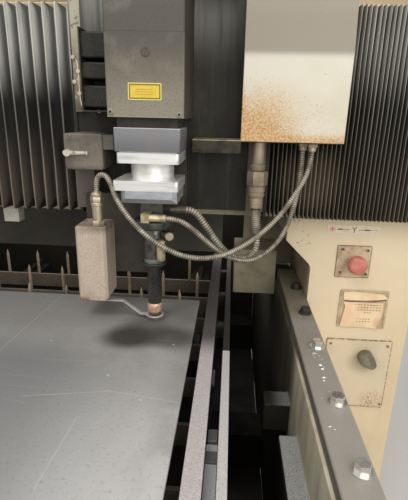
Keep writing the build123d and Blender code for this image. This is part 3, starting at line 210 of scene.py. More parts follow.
def darkCoat(name, paint, dust, cover=0.5, rough=0.5, metallic=0.0, lint=0.06):
    f = Finish(name, Metallic=metallic, Specular_IOR_Level=0.3)
    settled = f.cloud(7, 5, shift=3.0).rise(0.38, 0.72) * cover
    fine = f.cloud(180, 3)
    f.base(paint, darker(paint, 0.6), f.cloud(30, 4).rise(0.4, 0.7))
    f.over(dust, (settled + fine.rise(0.45, 0.8) * 0.25).smaller(0.95))
    flecks = f.spots(210, 0.2, shift=4.0) * settled
    f.over((176, 168, 155), flecks * lint)
    f.bump(fine * 0.6 + f.cloud(40, 4) * 0.6, 0.0005, 0.6)
    return f.done(rough + settled * 0.3 + fine * 0.1)


def metalSkin(name, base, tarnish, rough, spread, brush=(1, 1, 1), metallic=0.9):
    f = Finish(name, Metallic=metallic)
    lines = f.cloud(40, 3, stretch=brush)
    stain = f.cloud(12, 4, shift=6.0).rise(0.45, 0.75)
    f.base(base, darker(base, 0.72), lines.rise(0.35, 0.75))
    f.over(tarnish, stain * spread)
    f.bump(lines * 0.5 + f.cloud(160, 2) * 0.5, 0.00025, 0.6)
    return f.done(rough + stain * 0.22 + lines * 0.1)


def gritBar(name, base, dark, light, cover=0.5, rough=0.55, metallic=0.35, scale=240):
    f = Finish(name, Metallic=metallic)
    grit = f.cloud(scale, 3, rough=0.75)
    broad = f.cloud(6, 4, shift=8.0)
    f.base(base, dark, broad.rise(0.4, 0.7) * cover)
    f.over(dark, grit.fall(0.3, 0.5) * 0.7)
    f.over(light, grit.rise(0.55, 0.72) * 0.75)
    f.bump(grit * 0.8 + f.cloud(60, 3) * 0.5, 0.0009, 0.8)
    return f.done(rough + grit * 0.25)


cream = (229, 212, 180)
creamDirt = (150, 130, 100)


def lidFinish():  # white lid of the junction box, with rust low down and along its folds, painted shade above the fold and painted light at the very top
    f = Finish("boxWhite")
    high = f.z.rise(1.440, 1.458)  # painted shade above the fold
    f.base((222, 217, 200), (150, 142, 127), high)
    f.over((204, 194, 168), f.cloud(7, 4, shift=1.5).rise(0.45, 0.78) * 0.4 * (1 - high))
    # painted light: paler at the very top
    f.over((170, 163, 148), f.z.rise(1.50, 1.58) * 0.6)
    grain = f.cloud(330, 2, rough=0.8)
    left = f.x.fall(0.62, 0.72)
    low = f.z.fall(1.31, 1.42) * (left * 0.86 + 0.14)
    lowEdge, leftEdge = f.z.fall(1.2905, 1.31), f.x.fall(0.584, 0.592)
    edge = lowEdge * 0.8 + leftEdge * f.z.fall(1.33, 1.42) * 0.6
    share = (low * f.cloud(16, 5, shift=4.0).rise(0.26, 0.5) + edge).smaller(1.0)
    f.over((216, 180, 124), share * 0.8)
    f.over((186, 130, 64), share * grain.rise(0.42, 0.6) * 0.88)
    pits = f.spots(200, 0.22, shift=11.0) * f.cloud(12, 3, shift=17.0).rise(0.5, 0.64)
    f.over((150, 128, 98), pits * 0.75)
    f.bump(f.cloud(30, 3) * 0.5 - pits * 0.6 - share * grain * 0.5, 0.0006, 0.5)
    return f.done(0.4 + share * 0.3)


def legFinish():  # cream casting with chips near its inner edge, painted shade at its top and along the throat and inner face
    f = Finish("legCream")
    f.base(cream, (212, 194, 160), f.cloud(2.6, 4, shift=3.0).rise(0.4, 0.7) * 0.7)
    streak = f.cloud(7, 4, stretch=(1, 1, 0.18), shift=7.0).rise(0.52, 0.75)
    f.over((196, 178, 146), streak * 0.5)
    # painted shade: darker towards the top
    f.over((198, 180, 150), f.z.rise(1.05, 1.11) * 0.6)
    inner = f.x.fall(0.712, 0.79)
    innerFace, throat = f.x.fall(0.705, 0.735), f.y.rise(0.153, 0.19) * f.x.fall(0.80, 0.83)
    # painted shade in the throat and on the inner face, broken up by clouds
    sootAndShadow = innerFace * 0.35 + throat * 0.9
    f.over((176, 163, 136), sootAndShadow.smaller(0.92) * f.cloud(9, 4).rise(0.2, 0.55))
    chips = f.cloud(90, 4, shift=12.0).rise(0.63, 0.67) * inner + f.cloud(110, 3, shift=2.2).rise(0.74, 0.76)
    f.over((112, 94, 72), chips.smaller(0.85))
    f.bump(f.cloud(190, 2) * 0.35 + f.cloud(22, 4) * 0.6 - chips * 0.5, 0.0008, 0.5)
    return f.done(0.45 + streak * 0.2 + chips.smaller(1.0) * 0.2)


sheetMarks = {
    "long": [((0.138, -0.164), (0.155, 0.087)), ((0.25, -0.293), (0.381, -0.267)),
             ((0.381, -0.267), (0.50, -0.286)), ((0.343, -0.46), (0.349, -0.34)),
             ((-0.2, -0.5), (-0.14, -0.02)), ((0.02, -0.33), (0.2, -0.36))],
    "dots": [(0.365, -0.224), (0.435, -0.285), (0.465, -0.11), (0.22, -0.12)],
    # painted shadow of the torch and sensor box on the sheet
    "sootAndShadow": [((0.372, -0.088, 0.9), (0.056, 0.044, 1), 1.0), ((0.395, -0.045, 0.9), (0.050, 0.045, 1), 0.55),
             ((0.452, -0.082, 0.9), (0.056, 0.040, 1), 0.8), ((0.440, -0.01, 0.9), (0.085, 0.06, 1), 0.25)],
}


def sheetFinish():  # mill-grey steel sheet with rubbed places and scratches; painted shade far off and on the left, painted shadow near the torch
    f = Finish("sheetSteel", Metallic=0.3)
    # painted shade: darker towards the far end
    f.base((210, 209, 208), (174, 173, 172), f.y.rise(-0.46, -0.1))
    # painted shade: bluish-dark on the left middle where the reflection fades, and darker at the far left
    f.over((134, 136, 139), f.x.fall(0.20, 0.48) * f.y.fall(-0.2, -0.08) * 0.85)
    f.over((152, 150, 148), f.x.fall(0.08, 0.24) * f.y.rise(-0.12, -0.02) * 0.6)
    rubbed = f.cloud(3.4, 5, stretch=(1, 0.55, 1), shift=1.0)
    f.over((146, 144, 140), rubbed.rise(0.45, 0.72) * 0.45)
    f.layer((206, 205, 203), 0.35, (0.52, 0.75), 5, 4, shift=8.0)
    f.over((132, 128, 122), f.x.rise(0.44, 0.50) * f.cloud(16, 3).rise(0.3, 0.6) * 0.4)
    # painted shadow near the torch
    for centre, reach, share in sheetMarks["sootAndShadow"]:
        f.over((74, 72, 69), f.ball(centre, reach, 0.5) * share)
    lines = f.cloud(90, 2, stretch=(0.06, 1, 1), shift=3.0).rise(0.6, 0.72)
    marks = lines * 0.12
    for start, end in sheetMarks["long"]:
        marks = marks + f.stroke(start, end, 0.0011) * 0.7
    for x, y in sheetMarks["dots"]:
        marks = marks + f.ball((x, y, 0.9), (0.003, 0.003, 0.1))
    f.over((226, 225, 222), marks.smaller(1.0) * 0.55)
    grain = f.cloud(160, 3, rough=0.7)
    f.over((110, 108, 104), grain.fall(0.3, 0.46) * 0.3)
    f.bump(f.cloud(9, 4) * 0.5 + grain * 0.2 - marks.smaller(1.0) * 0.2, 0.0012, 0.5)
    return f.done(0.48 + rubbed * 0.16 - marks.smaller(1.0) * 0.1)


def clothFinish(name, low, mid, high, valley):  # bellows cloth: painted light towards the top, painted highlights on dusty ridges, painted shade in the valleys
    f = Finish(name)
    # painted light: the cloth is lighter towards the top
    height = f.z.rise(1.13, 1.54)
    f.base(low, mid, height.rise(0.0, 0.45))
    f.over(high, height.rise(0.55, 1.0))
    # painted shade in the fold valleys
    depth = f.y.rise(0.101, 0.119)
    dusty = f.cloud(8, 4, stretch=(1, 1, 0.3), shift=4.0).rise(0.35, 0.75)
    f.over(valley, depth * 0.85)
    # painted highlight on the ridges, stronger high up, mixed with dust
    ridge = f.y.fall(0.1005, 0.1035) * (0.1 + height * 0.3 + dusty * 0.22)
    f.over((170, 167, 158), ridge)
    streaks = f.cloud(40, 3, stretch=(1, 1, 0.12), shift=9.0)
    f.over((48, 43, 38), streaks.rise(0.5, 0.75) * 0.4)
    underBox = f.ball((0.74, 0.10, 1.205), (0.06, 0.04, 0.07), 0.5)
    f.over((160, 149, 129), underBox * 0.65)
    weave = f.cloud(420, 1, stretch=(1, 1, 0.5))
    f.bump(weave * 0.4 + streaks * 0.6, 0.0006, 0.6)
    return f.done(0.62 + dusty * 0.2)


def barFinish():  # greased guide bars: grey-brown, speckled dark towards the far end
    f = Finish("barSteel", Metallic=0.2, Specular_IOR_Level=0.35)
    f.base((172, 166, 157), (146, 139, 130), f.cloud(4, 4, shift=2.0).rise(0.4, 0.7) * 0.7)
    grit = f.cloud(520, 3, rough=0.75)
    farther = f.y.rise(-0.2, 0.0)
    f.over((84, 77, 70), grit.fall(0.36, 0.54) * (0.12 + farther * 0.8))
    f.over((204, 200, 192), grit.rise(0.62, 0.75) * (0.15 + farther * 0.35))
    f.over((128, 121, 100), f.y.rise(0.0, 0.09) * 0.9)
    f.over((92, 84, 74), f.z.fall(0.893, 0.898) * 0.7)
    f.bump(grit * 0.7 + f.cloud(50, 3) * 0.5, 0.0007, 0.6)
    return f.done(0.4 + farther * 0.35 + grit * 0.12)


def boltFinish():  # zinc bolts, dark beyond the third one as painted shade
    f = Finish("boltZinc", Metallic=0.85)
    stain = f.cloud(60, 4, shift=6.0).rise(0.45, 0.7)
    f.base((226, 224, 219), (136, 126, 112), stain * 0.5)
    # painted shade: the bolts beyond the third one are dark
    farShade = f.y.rise(-0.06, -0.02)
    f.over((58, 52, 45), farShade * 0.92)
    f.bump(f.cloud(240, 2) * 0.5 + stain * 0.3, 0.0003, 0.5)
    return f.done(0.24 + stain * 0.2 + farShade * 0.35)


def wallFinish():  # bed walls: painted outside, oil runs and painted shade inside, a grainy ledge above faces darkened as painted shade, a lighter box under the beam
    f = Finish("bedCream", Specular_IOR_Level=0.25)
    side = abs(f.x)
    smear = f.cloud(5, 4, stretch=(1, 1.6, 0.35), shift=3.0)
    f.base((232, 223, 198), (168, 157, 134), smear.rise(0.4, 0.66) * 0.85)
    outer = side.rise(0.764, 0.769)
    inside = 1 - outer
    # painted shade: darker inside towards the far end and low down
    f.over((44, 39, 33), inside * f.y.rise(-0.16, -0.03) * 0.9)
    f.over((34, 30, 26), inside * f.z.fall(0.52, 0.74) * 0.9)
    f.over(f.mix(cream, creamDirt, smear.rise(0.5, 0.75) * 0.5), outer)
    proud = side.fall(0.7085, 0.7095)
    low = proud * f.z.fall(0.77, 0.78)
    # painted shade on the faces below the ledge
    f.over((26, 23, 19), low * 0.95)
    grit = f.cloud(520, 3, rough=0.8)
    speckle = f.mix((134, 135, 133), (196, 198, 198), grit.rise(0.36, 0.66))
    clean = f.y.fall(-0.19, -0.17) + side.rise(0.665, 0.705) * 0.5
    f.over(speckle, low * f.z.rise(0.7575, 0.7595) * clean.smaller(1.0))
    dusty = f.mix((180, 171, 146), (142, 133, 110), f.cloud(14, 4, shift=6.0).rise(0.4, 0.7))
    f.over(dusty, proud * f.z.rise(0.80, 0.82))
    f.bump(grit * 0.4 + smear * 0.6, 0.0009, 0.6)
    return f.done(0.62 + smear * 0.2)


def panFinish():  # closed ends of the bed: painted outside, dark inside as painted shade of the bed's hollow
    f = Finish("panPaint")
    smear = f.cloud(6, 4, stretch=(1, 1, 0.4), shift=5.0).rise(0.42, 0.7)
    f.base((46, 41, 36), (28, 25, 22), smear)
    f.over(f.mix(cream, creamDirt, smear * 0.5), abs(f.y).rise(1.2985, 1.2995))
    f.bump(f.cloud(180, 2) * 0.4 + smear * 0.5, 0.0006, 0.5)
    return f.done(0.55 + smear * 0.2)


def stopPlateFinish():  # blotched plate with dark edges
    f = Finish("stopPlateSteel", Metallic=0.15)
    blot = f.cloud(34, 5, shift=5.0)
    f.base((206, 184, 154), (160, 136, 108), blot.rise(0.44, 0.64) * 0.8)
    f.layer((112, 92, 70), 0.6, (0.6, 0.7), 150, 3)
    f.layer((232, 218, 196), 0.5, (0.62, 0.7), 90, 3, shift=21.0)
    middle, rimWidth = (0.871, 1.004), (0.0385, 0.0402)
    rim = abs(f.x - middle[0]).rise(*rimWidth) + abs(f.z - middle[1]).rise(*rimWidth)
    f.over((118, 98, 74), rim.smaller(1.0) * 0.75)
    f.bump(blot + f.cloud(160, 2) * 0.3, 0.0006, 0.6)
    return f.done(0.45 + blot * 0.3)


def panelFinish():  # cream switch panel, rusted at its right lower corner and soiled round the knob
    f = Finish("panelPaint")
    f.base((219, 204, 176), (202, 187, 159), f.cloud(12, 4).rise(0.42, 0.7) * 0.7)
    corner = f.ball((0.972, 0.15, 0.612), (0.032, 0.1, 0.026), 0.7)
    foot = f.z.fall(0.5915, 0.599)
    head = f.z.rise(0.7885, 0.7915)
    rusty = f.cloud(260, 3, shift=8.0).rise(0.46, 0.62)
    share = ((corner * 0.9 + foot * 0.7) * rusty).smaller(0.9)
    f.over((162, 120, 78), share)
    rim = (1 - f.x.rise(0.8322, 0.8338) * f.x.fall(0.9952, 0.9968) * f.z.rise(0.5912, 0.5928)) + head
    f.over((122, 100, 74), rim.smaller(1.0) * f.cloud(150, 2, shift=31.0).rise(0.3, 0.55) * 0.9)
    handled = f.ball((0.925, 0.15, 0.728), (0.032, 0.1, 0.03), 0.5)
    f.over((146, 134, 112), handled * 0.5)
    f.layer((136, 116, 90), 0.6, (0.72, 0.74), 70, 3, shift=19.0)
    f.bump(f.cloud(200, 2) * 0.3 - share * 0.5, 0.0005, 0.5)
    return f.done(0.5 + share * 0.3)


def headCoverFinish():  # grey-brown plates, palest at the foot; painted shade darkens them upwards, painted light pales the very top, painted shade on the side face
    f = Finish("coverPaint")
    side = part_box("head_cover")[1][0]
    # painted shade: darker upwards from the foot
    f.base((143, 136, 120), (86, 83, 75), f.z.rise(1.335, 1.47))
    # painted light: paler at the very top
    f.over((130, 130, 125), f.z.rise(1.50, 1.62))
    bloom = f.cloud(8, 5, shift=2.5)
    f.over((90, 86, 77), bloom.rise(0.44, 0.7) * 0.4)
    f.layer((150, 144, 130), 0.35, (0.55, 0.75), 16, 4, shift=7.0)
    fine = f.cloud(300, 2)
    f.over((72, 68, 62), fine.rise(0.54, 0.7) * 0.45)
    f.over((176, 170, 154), f.z.fall(1.3305, 1.333) * 0.5)
    # painted shade on the side face
    f.over((58, 51, 42), f.x.rise(side - 0.0009, side - 0.0004) * 0.85)
    f.bump(fine * 0.6 + bloom * 0.4, 0.0004, 0.5)
    return f.done(0.46 + bloom * 0.25)


def lensFinish():  # blue-grey anodised block, painted lighter towards its top, with a painted highlight along its top edge
    f = Finish("lensAluminium", Metallic=0.35)
    # painted light: lighter towards the top
    f.base((112, 114, 117), (140, 140, 144), f.z.rise(1.27, 1.31))
    f.layer((134, 131, 126), 0.5, (0.45, 0.75), 18, 4, stretch=(1, 1, 0.4))
    # painted highlight along the top edge
    f.over((214, 214, 216), f.z.rise(1.3102, 1.3113) * 0.8)
    f.bump(f.cloud(260, 2) * 0.4 + f.cloud(30, 3) * 0.3, 0.0002, 0.4)
    return f.done(0.42 + f.cloud(24, 3) * 0.15)


def shelfFinish():  # grimy shelf, rubbed bright along its top edge
    f = Finish("shelfSteel", Metallic=0.2, Specular_IOR_Level=0.3)
    grime = f.cloud(40, 4, shift=3.0)
    f.base((68, 61, 49), (42, 37, 30), grime.rise(0.4, 0.66))
    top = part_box("box_shelf")[1][2]
    f.over((196, 184, 154), f.z.rise(top - 0.0022, top - 0.001) * f.cloud(60, 3).rise(0.3, 0.55) * 0.8)
    f.bump(grime * 0.6 + f.cloud(220, 2) * 0.4, 0.0005, 0.5)
    return f.done(0.5 + grime * 0.2)


def fittingsFinish():  # pale hose sockets, the far one blackened
    f = Finish("hoseSockets", Metallic=0.6)
    worn = f.cloud(70, 4)
    f.base((206, 194, 158), (140, 124, 96), worn.rise(0.42, 0.66) * 0.7)
    f.over((58, 54, 48), f.z.rise(1.126, 1.130) * f.y.rise(-0.018, -0.014) * 0.9)
    f.bump(worn * 0.6 + f.cloud(240, 2) * 0.4, 0.0003, 0.5)
    return f.done(0.34 + worn * 0.2)


def capFinish():  # blackened cap and barrel parts with painted highlights on their rims
    f = Finish("capSteel", Metallic=0.6)
    low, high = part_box("torch_cap")[0][2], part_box("torch_cap")[1][2]
    worn = f.cloud(60, 3)
    f.base((92, 91, 87), (62, 60, 57), worn.rise(0.4, 0.66))
    # painted highlights on the upper and lower rims
    f.over((198, 197, 190), f.z.rise(high - 0.0024, high - 0.001) * 0.7)
    f.over((150, 148, 142), f.z.fall(low + 0.001, low + 0.0024) * 0.6)
    f.bump(worn * 0.5 + f.cloud(240, 2) * 0.4, 0.0003, 0.5)
    return f.done(0.3 + worn * 0.15)


def curtainFinish():  # dusty rubber standing dark for the shade behind the torch, painted lighter towards its right end
    f = Finish("curtainRubber", Specular_IOR_Level=0.3)
    dusty = f.cloud(7, 5, shift=3.0).rise(0.38, 0.72)
    f.base((80, 77, 70), (104, 100, 91), dusty * 0.6)
    # painted light: lighter towards the right end
    f.over((158, 153, 140), f.x.rise(0.46, 0.68) * 0.8)
    f.bump(f.cloud(180, 3) * 0.6 + f.cloud(40, 4) * 0.6, 0.0005, 0.6)
    return f.done(0.7 + dusty * 0.15)


def barrelFinish():  # black barrel with a chrome ring, painted bright as its highlight
    f = Finish("barrelBlack", Metallic=0.5)
    ring = (1.0325, 1.0445)
    worn = f.cloud(50, 4)
    f.base((100, 100, 95), (66, 65, 61), worn.rise(0.4, 0.66))
    # painted highlight on the chrome ring
    f.over((176, 180, 174), f.z.band(*ring, 0.0006) * 0.6)
    f.bump(worn * 0.4 + f.cloud(260, 2) * 0.4, 0.0002, 0.4)
    return f.done(0.2 + worn * 0.12)


def sensorFinish():  # pinkish paint, soiled at the top and rusted along the foot
    f = Finish("sensorPaint")
    f.base((200, 184, 166), (176, 154, 138), f.cloud(16, 4, stretch=(1, 1, 0.4)).rise(0.4, 0.7))
    f.layer((128, 114, 100), 0.45, (0.5, 0.66), 420, 2)
    top = f.z.rise(1.09, 1.1115)
    f.over((98, 84, 70), top * f.cloud(30, 4).rise(0.3, 0.6) * 0.7)
    edge = f.z.fall(0.947, 0.958)
    f.over((116, 88, 64), edge * f.cloud(50, 4).rise(0.4, 0.6) * 0.8)
    chips = f.cloud(110, 4, shift=3.0).rise(0.7, 0.74)
    f.over((128, 106, 88), chips * 0.5)
    f.bump(f.cloud(180, 2) * 0.5 - chips * 0.6, 0.0005, 0.5)
    return f.done(0.46 + chips * 0.25)


def copperFinish():  # nozzle, burnt dark at its tip
    f = Finish("nozzleCopper", Metallic=0.6)
    sootAndShadow = f.cloud(70, 4).rise(0.4, 0.66)
    f.base((248, 208, 182), (156, 124, 106), sootAndShadow * 0.7)
    f.over((60, 52, 46), f.z.fall(0.908, 0.922) * 0.7)
    f.bump(f.cloud(240, 2), 0.0002, 0.5)
    return f.done(0.34 + sootAndShadow * 0.3)


def tableFinish():  # dark weldment whose side bars have a bright, speckled top, darkened far off as painted shade
    f = Finish("tableSteel", Metallic=0.3)
    grit = f.cloud(560, 3, rough=0.78)
    f.base((50, 46, 42), (24, 22, 20), f.cloud(8, 4).rise(0.4, 0.7))
    f.over((84, 76, 66), grit.rise(0.55, 0.72) * 0.6)
    top = f.z.rise(0.8885, 0.8895) * abs(f.x).rise(0.515, 0.517)
    bar = f.mix((208, 200, 200), (156, 149, 149), grit.fall(0.3, 0.52))
    bar = f.mix(bar, (232, 228, 228), grit.rise(0.54, 0.74) * 0.7)
    # painted shade: the bar tops darken towards the far end
    bar = f.mix(bar, (66, 61, 57), f.y.rise(-0.14, -0.04) * 0.88)
    f.over(bar, top)
    f.bump(grit * 0.8 + f.cloud(50, 3) * 0.4, 0.0009, 0.7)
    return f.done(0.5 + grit * 0.2)


def sideStripFinish():  # bright, grainy near strips; lower faces and the far strips darkened as painted shade
    f = Finish("sideStripSteel", Metallic=0.3)
    grit = f.cloud(640, 3, rough=0.78)
    f.base((216, 212, 210), (172, 168, 166), grit.fall(0.3, 0.52))
    f.over((236, 234, 232), grit.rise(0.54, 0.74) * 0.7)
    # painted shade on the lower faces and the far strips
    f.over((70, 65, 60), f.z.fall(0.884, 0.888) * 0.8)
    f.over((46, 42, 38), f.y.rise(-0.1045, -0.1035) * 0.9)
    f.bump(grit * 0.8 + f.cloud(60, 3) * 0.4, 0.0008, 0.7)
    return f.done(0.42 + grit * 0.2)


def carriageFinish():  # dark plate, painted lighter towards its top, streaked downwards
    f = Finish("carriageGrey", Specular_IOR_Level=0.3)
    streak = f.cloud(60, 4, stretch=(1, 1, 0.06), shift=3.0)
    # painted light: lighter towards the top
    f.base((34, 33, 28), (50, 49, 43), f.z.rise(1.2, 1.42))
    f.over((158, 160, 154), f.z.rise(1.42, 1.60))
    f.over((34, 33, 29), streak.rise(0.5, 0.7) * 0.45)
    worn = f.cloud(11, 4, shift=6.0).rise(0.55, 0.75) * 0.25 + streak.fall(0.3, 0.42) * 0.3
    f.over((92, 86, 74), worn)
    f.layer((96, 88, 70), 0.35, (0.6, 0.72), 260, 2)
    f.bump(streak * 0.4 + f.cloud(180, 2) * 0.4, 0.0005, 0.6)
    return f.done(0.5 + streak * 0.2)


def castFinish():  # dusty cast block with a worn bright grease pipe on its front
    f = Finish("castGrey")
    dust = f.cloud(14, 4, shift=3.0).rise(0.4, 0.7)
    f.base((96, 89, 79), (132, 124, 110), dust)
    f.layer((74, 68, 60), 0.5, (0.56, 0.7), 90, 3)
    f.over((84, 76, 66), f.z.fall(1.2245, 1.236) * 0.6)
    pipe = f.y.fall(0.0088, 0.0098)
    f.over((206, 199, 184), pipe * f.cloud(120, 3, shift=8.0).rise(0.25, 0.5))
    f.bump(f.cloud(150, 3) * 0.5 + dust * 0.4, 0.0006, 0.6)
    return f.done(0.5 + dust * 0.25)


def stripsFinish():  # cream strips of the carriage, rusted low; the open guard low down is dark
    f = Finish("stripCream")
    smear = f.cloud(10, 4, stretch=(1, 1, 0.25), shift=5.0)
    f.base((206, 201, 178), (142, 133, 112), smear.rise(0.48, 0.7) * 0.7)
    rust = f.z.fall(1.40, 1.52) * f.cloud(48, 4, shift=7.0).rise(0.32, 0.56)
    f.over((112, 100, 76), rust * 0.85)
    f.over((80, 75, 64), f.z.fall(1.345, 1.37) * 0.7)
    f.over((92, 86, 77), f.z.fall(1.224, 1.232))
    f.over((92, 84, 70), f.x.rise(0.55, 0.56) * 0.8)
    f.layer((60, 54, 46), 0.7, (0.6, 0.68), 90, 4, shift=3.0)
    f.bump(f.cloud(190, 2) * 0.5 + smear * 0.4, 0.0005, 0.5)
    return f.done(0.48 + smear * 0.2)


def plasticFinish(name, base, dust, worn, rough=0.42):
    f = Finish(name, Coat_Weight=0.15)
    cloud = f.cloud(60, 4)
    f.base(base, dust, cloud.rise(0.4, 0.68) * 0.55)
    f.layer(worn, 0.6, (0.6, 0.72), 130, 3, shift=6.0)
    f.bump(f.cloud(300, 2) * 0.6 + cloud * 0.3, 0.0003, 0.5)
    return f.done(rough + cloud * 0.2)


def hoseFinish(name, base, dark, light):
    f = Finish(name, Metallic=0.55)
    dirt = f.cloud(34, 4, shift=2.0)
    f.base(base, dark, dirt.rise(0.42, 0.66) * 0.75)
    f.layer(light, 0.6, (0.55, 0.7), 90, 3, shift=7.0)
    f.bump(f.cloud(300, 2), 0.0002, 0.5)
    return f.done(0.38 + dirt * 0.25)


def paperFinish():  # yellowed paper with two faded places
    f = Finish("agedPaper")
    f.base((240, 216, 178), (228, 196, 158), f.cloud(22, 4).rise(0.4, 0.7))
    f.over((242, 196, 168), f.ball((0.875, 0.148, 0.868), (0.012, 0.1, 0.034), 0.7) * 0.7)
    f.over((214, 176, 142), f.ball((0.952, 0.148, 0.842), (0.012, 0.1, 0.014), 0.6) * 0.8)
    f.bump(f.cloud(120, 3), 0.0004, 0.5)
    return f.done(0.7 + f.cloud(60, 2) * 0.1)


def pouchFinish(name, base, worn):
    f = Finish(name, Coat_Weight=0.4)
    f.base(base, worn, f.cloud(40, 4).rise(0.4, 0.65))
    f.bump(f.cloud(90, 3), 0.0006, 0.5)
    return f.done(0.4 + f.cloud(30, 3) * 0.3)


def plainInk(name, base, worn, share=0.4):
    f = Finish(name)
    f.base(base, worn, f.cloud(160, 3).rise(0.45, 0.65) * share)
    f.bump(f.cloud(300, 2), 0.0001, 0.4)
    return f.done(0.5 + f.cloud(90, 2) * 0.1)


finishOf = {
    "boxWhite": lidFinish(), "leg": legFinish(), "sheet": sheetFinish(), "wall": wallFinish(), "bars": barFinish(),
    "cream": enamel("machineCream", cream, creamDirt, 0.5, 0.5, 0.3),
    "beam": enamel("beamCream", (186, 174, 146), (98, 88, 70), 0.6, 0.5),
    "dark": darkCoat("sootedPaint", (58, 55, 49), (84, 79, 69), 0.5),
    "carriage": carriageFinish(), "cast": castFinish(), "pan": panFinish(), "bolt": boltFinish(),
    "curtain": curtainFinish(),
    "cover": headCoverFinish(),
    "limitPlate": darkCoat("limitPlateGrey", (196, 193, 180), (150, 145, 128), 0.5),
    "valve": darkCoat("valveGrey", (36, 34, 31), (84, 78, 68), 0.4, rough=0.4, lint=0.9),
    "shelf": shelfFinish(),
    "inner": darkCoat("innerSteel", (48, 45, 40), (82, 76, 66), 0.4, metallic=0.3),
    "lens": lensFinish(),
    "flange": metalSkin("flangeAluminium", (248, 247, 244), (214, 210, 203), 0.3, 0.2, (0.3, 0.3, 3), 0.6),
    "lower": metalSkin("lowerAluminium", (190, 195, 201), (150, 150, 150), 0.38, 0.3, (1, 1, 3), 0.7),
    "cap": capFinish(), "barrel": barrelFinish(), "fittings": fittingsFinish(),
    "tube": darkCoat("tubeBlack", (74, 74, 73), (118, 113, 105), 0.3, rough=0.2, metallic=0.6),
    "copper": copperFinish(),
    "sensor": sensorFinish(),
    "strip": sideStripFinish(),
    "gap": gritBar("gapSteel", (204, 205, 208), (160, 161, 165), (226, 227, 230), 0.3, 0.55, 0.1, 560),
    "pinBars": gritBar("pinBarSteel", (150, 137, 122), (94, 85, 75), (184, 172, 156), 0.5),
    "pins": gritBar("pinSteel", (206, 187, 164), (132, 117, 100), (232, 216, 194), 0.5),
    "stopPlate": stopPlateFinish(), "panel": panelFinish(),
    "finger": metalSkin("fingerSteel", (222, 218, 210), (160, 144, 122), 0.3, 0.5, metallic=0.35),
    "screw": metalSkin("screwZinc", (226, 224, 219), (140, 130, 116), 0.26, 0.45),
    # painted shade: bed base, feet, tray and blocks near-black for the dark inside the bed
    "under": darkCoat("bedDark", (40, 36, 31), (22, 20, 17), 0.8, rough=0.75),
}
print("finishes:", len(finishOf))


# Forms

